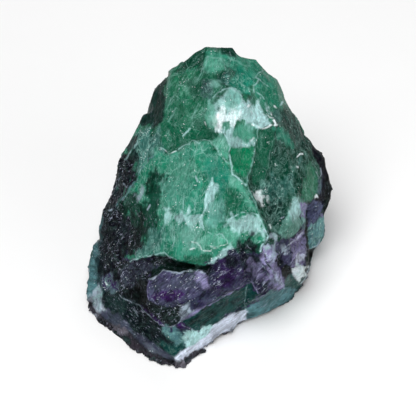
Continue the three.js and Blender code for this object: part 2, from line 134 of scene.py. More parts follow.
# Patches of the show side in picture pixels, painted in this order. Each is
# (name, colour, kind, softness, raggedness, cover, outline).
PATCHES = [
    ("dome_upper_left", "dome_green", "dome", 3, 3, 1.0,
     [(140, 130), (150, 95), (165, 68), (205, 44), (228, 50), (222, 92), (210, 112), (214, 140), (190, 146),
      (172, 154), (158, 140)]),
    ("dark_left_shoulder", "night_green", "shaded", 2, 3, 1.0,
     [(136, 130), (146, 100), (158, 78), (167, 76), (165, 92), (167, 104), (166, 117), (159, 125),
      (153, 132), (149, 124)]),
    ("grey_shoulder", "grey_green", "cloud", 3, 4, 0.95,
     [(124, 146), (136, 131), (149, 126), (153, 133), (161, 126), (161, 140), (166, 150), (159, 157),
      (150, 160), (143, 167), (138, 180), (134, 168), (131, 155)]),
    ("shoulder_shadow", "dark_teal", "shaded", 3, 4, 0.85,
     [(124, 158), (126, 144), (134, 133), (139, 137), (136, 146), (138, 156), (135, 166), (138, 178),
      (130, 182), (118, 172)]),
    ("left_wall", "black_violet", "broken", 2, 3, 1.0,
     [(120, 152), (131, 153), (135, 166), (137, 182), (131, 188), (127, 195), (120, 201), (117, 208),
      (124, 214), (131, 222), (132, 240), (124, 258), (134, 262), (150, 257), (172, 256), (160, 266),
      (148, 281), (146, 306), (120, 300), (100, 300), (78, 290), (88, 230), (104, 190)]),
    ("left_teal_strip", "grey_teal", "banded", 3, 4, 0.7,
     [(103, 214), (103, 225), (100, 240), (100, 255), (98, 268), (101, 282), (104, 291), (98, 300),
      (82, 302), (82, 240), (96, 218)]),
    ("left_strip_shadow", "dark_teal", "shaded", 3, 3, 0.8,
     [(105, 216), (107, 232), (103, 250), (103, 268), (108, 282), (104, 294), (99, 284), (97, 268),
      (100, 250), (101, 232)]),
    ("front_face", "mid_green", "silk", 2, 2, 1.0,
     [(143, 168), (150, 159), (160, 153), (170, 154), (180, 148), (193, 141), (210, 141), (226, 163),
      (234, 176), (246, 186), (257, 207), (262, 222), (268, 236), (262, 246), (228, 247), (216, 258),
      (205, 265), (190, 263), (170, 257), (164, 252), (150, 256), (135, 260), (124, 258), (132, 240),
      (130, 222), (118, 206), (127, 195), (137, 182)]),
    ("front_upper_pale", "sea_green", "silk", 8, 6, 0.85,
     [(150, 160), (170, 154), (190, 146), (210, 143), (222, 160), (218, 172), (200, 180), (196, 160),
      (178, 160), (160, 168), (146, 172)]),
    ("front_leaf", "mid_green", "silk", 8, 6, 0.8,
     [(142, 170), (156, 162), (174, 162), (180, 174), (168, 186), (152, 184), (140, 196), (128, 206),
      (122, 202), (132, 190)]),
    ("front_dark_band", "bottle_green", "shaded", 6, 6, 1.0,
     [(150, 182), (158, 176), (168, 178), (164, 196), (163, 214), (161, 232), (152, 246), (140, 250),
      (134, 234), (136, 214), (144, 196)]),
    ("front_left_dark", "black_green", "shaded", 4, 4, 0.9,
     [(118, 205), (130, 204), (142, 212), (150, 232), (142, 250), (124, 258), (130, 240), (128, 222)]),
    ("front_left_tip", "black_green", "broken", 3, 4, 0.8,
     [(117, 207), (122, 199), (131, 192), (138, 192), (143, 202), (142, 214), (134, 221), (124, 215)]),
    ("front_left_rock", "rock", "broken", 3, 4, 0.9,
     [(128, 222), (138, 226), (146, 238), (140, 250), (124, 256), (128, 240)]),
    ("front_grey_left", "grey_green", "silk", 4, 4, 0.8,
     [(152, 230), (166, 222), (170, 244), (165, 254), (150, 256), (136, 258), (146, 246)]),
    ("left_pale_streak", "pale_grey", "silk", 1.2, 1, 0.7,
     [(142, 185), (145, 188), (143, 196), (139, 202), (136, 200), (140, 192)]),
    ("silky_field", "sea_green", "silk", 8, 6, 0.95,
     [(166, 184), (196, 178), (206, 184), (206, 206), (200, 240), (204, 250), (180, 252), (166, 250),
      (166, 222), (164, 206)]),
    ("silky_lower_shade", "mid_green", "silk", 4, 4, 0.7,
     [(170, 230), (186, 228), (200, 234), (196, 244), (182, 240), (172, 246)]),
    ("ragged_step", "pale_aqua", "cloud", 5, 4, 0.75,
     [(164, 207), (171, 207), (178, 210), (184, 212), (190, 217), (197, 214), (202, 216), (206, 224),
      (204, 234), (198, 227), (188, 224), (180, 226), (174, 222), (167, 222), (163, 215)]),
    ("ragged_step_skirt", "pale_green", "silk", 7, 5, 0.5,
     [(166, 220), (182, 222), (204, 226), (206, 246), (192, 250), (176, 240), (168, 234)]),
    ("teal_centre", "blue_green", "glassy", 5, 3, 0.85,
     [(204, 160), (222, 162), (231, 178), (226, 192), (218, 200), (214, 188), (206, 182)]),
    ("rib_white_side", "pale_aqua", "cloud", 3, 3, 0.75,
     [(209, 186), (212, 183), (218, 188), (217, 196), (212, 201), (209, 210), (205, 218), (205, 204),
      (205, 195)]),
    ("rib_panel", "aqua", "silk", 3, 3, 0.8,
     [(212, 204), (220, 198), (226, 204), (228, 219), (222, 224), (210, 232), (204, 236), (203, 222)]),
    ("green_hollow", "dome_green", "glassy", 5, 3, 0.85,
     [(226, 188), (236, 188), (243, 202), (241, 211), (233, 216), (228, 219), (226, 205)]),
    ("right_panel", "light_green", "silk", 2, 2, 0.95,
     [(231, 175), (242, 181), (250, 193), (257, 207), (258, 214), (248, 212), (243, 200), (237, 190),
      (228, 186)]),
    ("lower_green", "light_green", "silk", 3, 3, 0.9,
     [(204, 234), (226, 227), (240, 231), (243, 239), (236, 247), (228, 244), (216, 247), (208, 249),
      (199, 246), (198, 238)]),
    ("lower_pale", "pale_aqua", "cloud", 4, 5, 0.72,
     [(226, 226), (234, 218), (245, 212), (257, 213), (263, 223), (269, 234), (268, 242), (262, 240),
      (254, 234), (247, 233), (240, 234), (232, 230)]),
    ("lip_green", "sea_green", "glassy", 3, 2, 0.85,
     [(172, 254), (184, 249), (200, 252), (214, 250), (223, 247), (217, 257), (208, 263), (200, 265),
      (190, 262), (180, 260)]),
    ("lip_green_low", "deep_green", "glassy", 3, 2, 0.8,
     [(184, 257), (200, 255), (214, 254), (208, 264), (200, 266), (190, 264)]),
    ("purple_fade", "black_violet", "shaded", 7, 4, 0.9,
     [(237, 242), (246, 237), (255, 238), (264, 243), (262, 254), (250, 254), (238, 252)]),
    ("lip_shade", "dome_green", "lens", 3, 3, 0.9,
     [(162, 130), (170, 117), (180, 108), (192, 116), (204, 124), (209, 131), (212, 140), (200, 141),
      (190, 144), (178, 149), (170, 153), (163, 147), (161, 138)]),
    ("dome_shoulder", "leaf_green", "dome", 4, 4, 0.7,
     [(168, 74), (182, 66), (200, 70), (200, 84), (188, 96), (178, 92), (168, 96)]),
    ("dome_dark_oval", "deep_green", "glassy", 4, 3, 0.9,
     [(191, 84), (204, 80), (212, 86), (206, 98), (197, 100), (192, 93)]),
    ("dome_right_stripe", "leaf_green", "dome", 4, 4, 0.5,
     [(180, 104), (192, 98), (204, 104), (204, 122), (192, 118), (184, 126), (178, 116)]),
    ("lip_hollow", "dome_green", "glassy", 2, 2, 0.95,
     [(200, 130), (207, 128), (211, 134), (214, 140), (205, 141), (201, 139)]),
    # Painted shade on the shadowed facet at the top left of the crown.
    ("crown_left_shade", "bottle_green", "dome", 2, 2, 0.85,
     [(180, 68), (188, 54), (203, 46), (210, 52), (206, 66), (196, 67)]),
    ("crown_middle", "sea_green", "dome", 3, 3, 0.9,
     [(206, 52), (222, 52), (240, 56), (243, 70), (230, 73), (222, 62), (208, 58)]),
    ("crown_peak", "bottle_green", "shaded", 1.5, 2, 0.9,
     [(219, 44), (232, 44), (239, 54), (236, 57), (228, 56), (222, 53)]),
    ("crown_panel", "light_green", "silk", 2.5, 2, 0.9,
     [(208, 57), (222, 58), (225, 69), (219, 72), (212, 74), (203, 70)]),
    ("crown_hollow", "dome_green", "glassy", 1.5, 1.5, 0.9,
     [(203, 73), (212, 75), (219, 73), (228, 70), (226, 76), (219, 80), (210, 79), (204, 77)]),
    ("top_blue_green", "blue_green", "silk", 5, 4, 0.95,
     [(226, 76), (232, 70), (248, 66), (258, 72), (256, 84), (250, 94), (240, 93), (230, 88)]),
    ("top_right", "sea_green", "lens", 4, 3, 0.9,
     [(240, 58), (256, 58), (263, 68), (257, 76), (248, 72), (240, 66)]),
    ("violet_crumbs_left", "grey_violet", "cloud", 3, 4, 0.4,
     [(204, 84), (211, 84), (214, 90), (216, 97), (210, 100), (205, 92)]),
    ("violet_crumbs_right", "grey_violet", "cloud", 3, 4, 0.3,
     [(221, 76), (229, 71), (233, 78), (227, 84), (220, 86)]),
    ("crown_oval", "pale_green", "glassy", 2.5, 2, 0.7,
     [(211, 84), (215, 81), (220, 82), (222, 85), (217, 88), (212, 87)]),
    ("right_lens", "sea_green", "lens", 1.5, 1.5, 0.95,
     [(257, 77), (263, 69), (272, 74), (281, 79), (286, 92), (289, 104), (277, 107), (262, 104),
      (254, 97), (253, 87), (259, 81)]),
    ("right_lens_deep", "mid_green", "lens", 6, 3, 0.8,
     [(262, 92), (278, 82), (287, 96), (288, 106), (272, 106), (260, 102)]),
    ("under_lens", "mid_green", "lens", 3, 3, 0.8,
     [(254, 98), (268, 104), (276, 108), (274, 120), (266, 120), (262, 110), (254, 106)]),
    ("white_field", "pale_aqua", "cloud", 3.5, 4, 0.95,
     [(220, 92), (228, 87), (237, 92), (246, 98), (256, 102), (264, 109), (268, 120), (269, 128),
      (262, 129), (252, 128), (245, 123), (236, 123), (231, 129), (227, 134), (222, 128), (216, 130),
      (213, 120), (216, 110), (211, 103), (214, 97)]),
    # Painted highlight where the milky white field faces up to the light.
    ("white_field_highlight", "white", "cloud", 4, 4, 0.65,
     [(230, 110), (240, 106), (246, 112), (240, 122), (232, 126), (228, 118)]),
    ("aqua_facet", "aqua", "silk", 3, 2, 0.8,
     [(221, 95), (228, 88), (237, 94), (243, 104), (236, 107), (227, 107), (223, 100)]),
    # Painted highlight on the milky white field, where it faces the light.
    ("white_highlight_blotch", "white", "cloud", 1.5, 2.0, 1.0,
     [(224, 106), (227, 109), (223, 119), (221, 129), (216, 130), (213, 122), (218, 113), (219, 104)]),
    ("left_oval", "light_green", "silk", 3, 3, 0.75,
     [(206, 112), (211, 101), (215, 105), (213, 118), (214, 128), (208, 128), (206, 118)]),
    ("under_white_block", "light_green", "glassy", 3, 2, 0.75,
     [(239, 124), (250, 124), (257, 131), (256, 147), (244, 147), (233, 140), (233, 131)]),
    ("under_white_rim", "pale_aqua", "cloud", 3, 3, 0.75,
     [(223, 131), (232, 129), (232, 137), (240, 142), (256, 141), (255, 147), (240, 148), (231, 147),
      (227, 141)]),
    ("small_dark_facet", "mid_green", "glassy", 1, 1, 0.9,
     [(222, 122), (229, 122), (230, 128), (226, 131), (222, 128)]),
    ("block_pale_side", "light_green", "silk", 2, 2, 0.9,
     [(212, 142), (224, 134), (230, 147), (229, 152), (233, 168), (228, 164), (220, 154)]),
    ("emerald_window", "emerald", "glassy", 1.5, 1, 1.0,
     [(230, 148), (254, 147), (251, 164), (246, 178), (240, 176), (233, 168), (229, 156)]),
    ("right_face", "bottle_green", "dome", 1.5, 2, 1.0,
     [(257, 130), (272, 126), (280, 108), (290, 106), (304, 130), (322, 146), (334, 170), (330, 205),
      (312, 200), (300, 206), (296, 199), (286, 222), (280, 236), (268, 232), (262, 220), (257, 207),
      (248, 190), (246, 184), (252, 166), (255, 147)]),
    ("right_face_left", "dome_green", "glassy", 5, 3, 0.85,
     [(257, 131), (270, 130), (276, 140), (268, 160), (262, 180), (252, 186), (250, 172), (256, 150)]),
    ("right_edge_shade", "night_green", "lens", 4, 3, 0.85,
     [(279, 112), (288, 108), (300, 125), (312, 140), (322, 158), (312, 156), (298, 150), (288, 136)]),
    ("grey_triangle", "grey_green", "silk", 2, 2, 0.8,
     [(273, 112), (279, 110), (281, 120), (276, 121), (273, 117)]),
    ("pale_wisp", "sea_green", "lens", 3, 3, 0.7,
     [(275, 128), (284, 128), (296, 146), (294, 150), (284, 142), (277, 140)]),
    # Painted highlights: a scatter of white glints and a white streak of them on the right face.
    ("glint_scatter", "grey_green", "cloud", 6, 6, 0.6,
     [(262, 186), (274, 178), (292, 176), (292, 190), (284, 200), (272, 202), (264, 196)]),
    ("glint_streak", "white", "cloud", 2.0, 5, 0.65,
     [(250, 189), (256, 193), (262, 198), (266, 207), (262, 208), (256, 202), (252, 197)]),
    ("right_low_shade", "night_green", "dome", 3, 3, 0.8,
     [(260, 208), (276, 202), (288, 206), (284, 222), (276, 230), (268, 226)]),
    ("right_green", "leaf_green", "lens", 3, 3, 0.75,
     [(302, 158), (312, 162), (318, 174), (318, 190), (310, 200), (304, 196), (302, 176)]),
    ("right_facet_pale", "grey_green", "silk", 1.2, 1, 0.8,
     [(297, 158), (302, 154), (304, 160), (300, 168), (297, 164)]),
    ("violet_rim", "black_violet", "shaded", 1.5, 1.5, 1.0,
     [(310, 140), (320, 146), (332, 165), (334, 205), (322, 205), (312, 201), (318, 192), (320, 176),
      (318, 166), (312, 156)]),
    ("violet_rim_glow", "slate", "silk", 2, 2, 0.7,
     [(318, 180), (323, 174), (325, 184), (322, 192), (317, 196)]),
    # Painted shade: black on the right outline, where the stone's side turns away from the light.
    ("right_shade_sliver", "black", "shaded", 1, 0.8, 1.0,
     [(325, 178), (336, 172), (336, 216), (321, 216), (324, 202)]),
    ("slate_block", "slate", "broken", 1.5, 2.5, 1.0,
     [(306, 207), (313, 201), (321, 200), (323, 213), (318, 219), (309, 229), (305, 222)]),
    ("teal_facet", "grey_teal", "cloud", 1.5, 3, 1.0,
     [(308, 229), (318, 218), (330, 212), (330, 236), (318, 245), (309, 250), (307, 240)]),
    # Painted shade: black in the gap beside the blade and at the foot, on the shadowed right side.
    ("gap_shade", "black_green", "shaded", 1, 1, 1.0,
     [(304, 203), (307, 206), (307, 225), (309, 249), (315, 249), (313, 264), (306, 276), (305, 262),
      (304, 240), (303, 222)]),
    ("foot_shade_sliver", "black", "shaded", 1, 0.8, 1.0,
     [(309, 250), (318, 246), (315, 262), (309, 263)]),
    ("blade", "pale_green", "silk", 4, 3, 0.9,
     [(296, 198), (300, 205), (303, 215), (304, 228), (298, 234), (288, 238), (278, 238), (274, 232),
      (284, 223), (290, 211), (293, 204)]),
    ("blade_tip", "pale_aqua", "silk", 2, 2, 0.75,
     [(296, 199), (300, 206), (300, 216), (293, 220), (290, 212)]),
    ("blade_violet", "lilac", "silk", 0.8, 1, 1.0,
     [(300, 203), (307, 204), (306, 218), (301, 216)]),
    ("blade_violet_low", "violet", "banded", 2, 2, 0.8,
     [(300, 226), (305, 222), (306, 238), (298, 238), (296, 232)]),
    ("violet_column", "lilac", "broken", 1.5, 2.5, 1.0,
     [(286, 240), (296, 234), (305, 230), (307, 246), (306, 262), (300, 269), (291, 268), (290, 252)]),
    ("column_shade", "plum", "shaded", 3, 3, 0.3,
     [(288, 240), (296, 236), (297, 248), (294, 256), (289, 252)]),
    ("column_stripe_high", "violet", "broken", 1.5, 3, 0.45,
     [(289, 243), (305, 236), (306, 241), (291, 248)]),
    ("column_pale_low", "seam_white", "broken", 1.5, 3, 0.75,
     [(292, 258), (306, 253), (306, 259), (294, 265)]),
    ("blade_root", "deep_green", "dome", 5, 4, 0.6,
     [(276, 230), (290, 222), (300, 226), (298, 236), (282, 239)]),
    ("aqua_toe", "white", "silk", 1.2, 4, 0.75,
     [(292, 268), (300, 265), (308, 262), (312, 268), (304, 278), (297, 286), (294, 276)]),
    ("right_shelf", "pale_grey", "cloud", 2.5, 5, 1.0,
     [(262, 224), (268, 228), (280, 234), (278, 242), (268, 242), (266, 236)]),
    ("purple_band", "plum", "broken", 2, 2, 1.0,
     [(206, 262), (216, 258), (228, 247), (240, 253), (262, 252), (268, 262), (286, 288), (276, 291),
      (266, 292), (258, 294), (252, 281), (240, 287), (228, 294), (215, 302), (200, 308), (190, 315),
      (180, 322), (178, 314), (184, 304), (192, 297), (205, 290), (209, 278)]),
    ("purple_middle", "violet", "broken", 4, 4, 0.45,
     [(212, 262), (224, 258), (236, 268), (250, 262), (256, 276), (240, 282), (222, 288), (210, 290)]),
    ("purple_core", "black_violet", "shaded", 5, 5, 0.9,
     [(226, 258), (240, 254), (262, 256), (262, 266), (252, 276), (244, 266), (232, 266)]),
    ("purple_lilac_side", "lilac", "broken", 5, 5, 0.45,
     [(252, 262), (262, 262), (272, 284), (266, 288), (256, 276)]),
    ("band_lower_lilac", "grey_violet", "rising_band", 2.5, 2, 0.55,
     [(200, 300), (226, 288), (248, 278), (250, 282), (228, 294), (205, 306)]),
    ("diagonal_pale", "pale_aqua", "cloud", 1.5, 2.5, 0.8,
     [(209, 263), (218, 255), (224, 248), (228, 243), (232, 246), (226, 253), (219, 258), (213, 264)]),
    ("broken_zone", "grey_violet", "broken", 2, 3, 0.9,
     [(274, 242), (284, 238), (291, 241), (292, 256), (290, 268), (284, 266), (278, 256), (274, 248)]),
    ("broken_pale", "pale_grey", "broken", 1.5, 2.5, 0.9,
     [(280, 246), (286, 243), (289, 248), (285, 256), (281, 252)]),
    ("lilac_shard", "lilac", "broken", 2.5, 3, 1.0,
     [(261, 248), (268, 240), (274, 246), (277, 258), (283, 274), (285, 288), (277, 290), (270, 280),
      (263, 264), (259, 254)]),
    ("shard_pale_heart", "pale_grey", "broken", 3, 5, 0.45,
     [(266, 254), (273, 256), (279, 272), (281, 284), (274, 278), (267, 264)]),
    ("shard_pale_top", "pale_grey", "silk", 3, 3, 0.95,
     [(263, 247), (268, 240), (274, 246), (274, 252), (266, 252)]),
    ("dark_slot", "black", "shaded", 1.2, 1.5, 1.0,
     [(281, 268), (287, 264), (291, 268), (292, 274), (285, 279), (282, 274)]),
    ("teal_pocket", "teal", "glassy", 1.5, 1, 1.0,
     [(284, 280), (292, 274), (300, 284), (294, 294), (286, 291)]),
    ("left_rock", "rock", "broken", 2, 3, 1.0,
     [(118, 262), (134, 263), (142, 258), (152, 256), (170, 257), (172, 262), (160, 264), (152, 271),
      (148, 280), (140, 284), (128, 294), (118, 290), (111, 278)]),
    ("left_rock_grey", "strip_grey", "broken", 3, 4, 0.5,
     [(124, 264), (148, 258), (160, 262), (150, 272), (138, 274), (134, 286), (124, 288), (120, 276)]),
    ("violet_blob", "violet", "silk", 2, 2, 0.95,
     [(103, 277), (110, 275), (116, 283), (119, 290), (115, 294), (108, 290), (102, 285)]),
    ("black_hollow", "black", "shaded", 1.5, 1.5, 1.0,
     [(124, 294), (134, 288), (140, 281), (148, 280), (147, 292), (150, 302), (144, 306), (134, 302)]),
    # Painted shadow: the deep crevice between the green face and the purple block.
    ("crevice_shadow", "black_green", "shaded", 1.2, 1.2, 1.0,
     [(150, 279), (152, 271), (159, 264), (168, 262), (176, 264), (184, 261), (200, 266), (212, 264),
      (207, 271), (198, 270), (188, 272), (178, 273), (163, 271), (157, 276)]),
    ("block_rock", "rock", "broken", 1.5, 2, 1.0,
     [(150, 300), (162, 304), (184, 302), (192, 298), (188, 306), (182, 314), (178, 323), (170, 327),
      (160, 323), (150, 313), (145, 305)]),
    ("block_rock_white", "pale_grey", "broken", 2, 3, 0.65,
     [(184, 303), (192, 298), (190, 308), (196, 310), (186, 318), (181, 320)]),
    ("block_face", "grey_violet", "broken", 1, 1.5, 1.0,
     [(148, 281), (152, 279), (158, 276), (163, 271), (170, 272), (178, 273), (188, 272), (198, 270),
      (207, 276), (208, 287), (205, 290), (195, 299), (184, 303), (172, 306), (160, 305), (150, 301),
      (147, 292)]),
    ("block_grey_green", "strip_grey", "broken", 3, 3, 0.7,
     [(152, 284), (168, 280), (188, 280), (196, 286), (184, 291), (166, 289), (152, 290)]),
    ("block_violet", "violet", "broken", 2, 3, 1.0,
     [(149, 292), (160, 291), (172, 292), (184, 290), (187, 297), (176, 301), (162, 300), (150, 300)]),
    ("block_lilac_side", "lilac", "broken", 2, 3, 0.9,
     [(194, 272), (199, 270), (207, 276), (208, 287), (203, 286), (198, 280)]),
    ("slab_left", "dark_teal", "falling_band", 1.5, 1.5, 1.0,
     [(100, 297), (106, 296), (118, 296), (135, 302), (150, 314), (160, 324), (168, 328), (164, 334),
      (172, 341), (185, 347), (183, 353), (176, 358), (160, 352), (146, 341), (135, 333), (127, 328),
      (120, 318), (108, 310), (102, 307)]),
    ("slab_point", "teal", "glassy", 3, 2, 0.9,
     [(160, 341), (174, 343), (185, 347), (181, 353), (175, 357), (166, 352)]),
    ("slab_grey_strip", "strip_grey", "falling_band", 2, 2, 0.9,
     [(100, 310), (108, 309), (120, 316), (128, 325), (127, 332), (116, 328), (106, 321), (99, 316)]),
    ("slab_lower_strip", "strip_grey", "falling_band", 2.5, 2, 0.8,
     [(126, 328), (144, 336), (158, 348), (174, 357), (178, 362), (164, 359), (150, 352), (134, 340)]),
    ("slab_teal_facet", "grey_teal", "silk", 3, 4, 0.9,
     [(161, 325), (170, 329), (180, 327), (184, 333), (185, 342), (176, 343), (167, 338), (162, 332)]),
    ("slab_right", "teal", "rising_band", 1.5, 1.5, 1.0,
     [(183, 321), (195, 313), (205, 307), (228, 295), (251, 282), (258, 294), (264, 293), (254, 302),
      (246, 307), (238, 310), (226, 315), (214, 323), (206, 328), (196, 330), (187, 326)]),
    ("slab_right_deep", "dark_teal", "rising_band", 4, 3, 0.7,
     [(186, 322), (205, 310), (228, 298), (238, 300), (218, 314), (202, 326), (190, 326)]),
    ("aqua_ragged", "pale_aqua", "cloud", 1.2, 4, 0.95,
     [(181, 331), (190, 330), (199, 332), (204, 328), (214, 327), (208, 337), (194, 345), (186, 344),
      (183, 337)]),
    ("white_seam", "seam_white", "rising_band", 1.5, 1.2, 1.0,
     [(175, 358), (184, 350), (193, 346), (205, 337), (214, 326), (225, 318), (240, 310), (248, 308),
      (254, 318), (240, 324), (231, 328), (218, 340), (204, 347), (195, 351), (188, 357), (182, 362),
      (176, 361)]),
    ("right_lobe", "grey_teal", "rising_band", 2, 1.5, 0.95,
     [(246, 307), (256, 300), (266, 293), (284, 288), (298, 290), (288, 306), (268, 318), (247, 320)]),
    ("lobe_deep", "teal", "rising_band", 5, 3, 0.6,
     [(246, 306), (258, 294), (276, 292), (270, 300), (256, 306)]),
    ("left_pale_toe", "pale_grey", "cloud", 2, 2, 0.9,
     [(94, 291), (99, 288), (102, 297), (104, 306), (101, 313), (97, 311), (92, 304), (90, 298)]),
    ("crust_foot", "crust", "crusty", 1.5, 2, 1.0,
     [(84, 298), (92, 303), (96, 311), (102, 316), (110, 323), (119, 328), (127, 332), (138, 341),
      (150, 352), (163, 359), (176, 362), (186, 359), (195, 352), (204, 347), (210, 352), (194, 378),
      (150, 375), (110, 345), (84, 322)]),
    # The crust's grey, partly painted highlights on the tops of its lumps.
    ("crust_tip", "crust_highlight_grey", "crusty", 2.5, 2, 0.8,
     [(176, 361), (184, 359), (190, 360), (186, 372), (174, 368)]),
    ("crust_highlight_left", "crust_highlight_grey", "crusty", 2.5, 3, 0.6,
     [(112, 324), (126, 330), (128, 338), (120, 334), (108, 327)]),
]

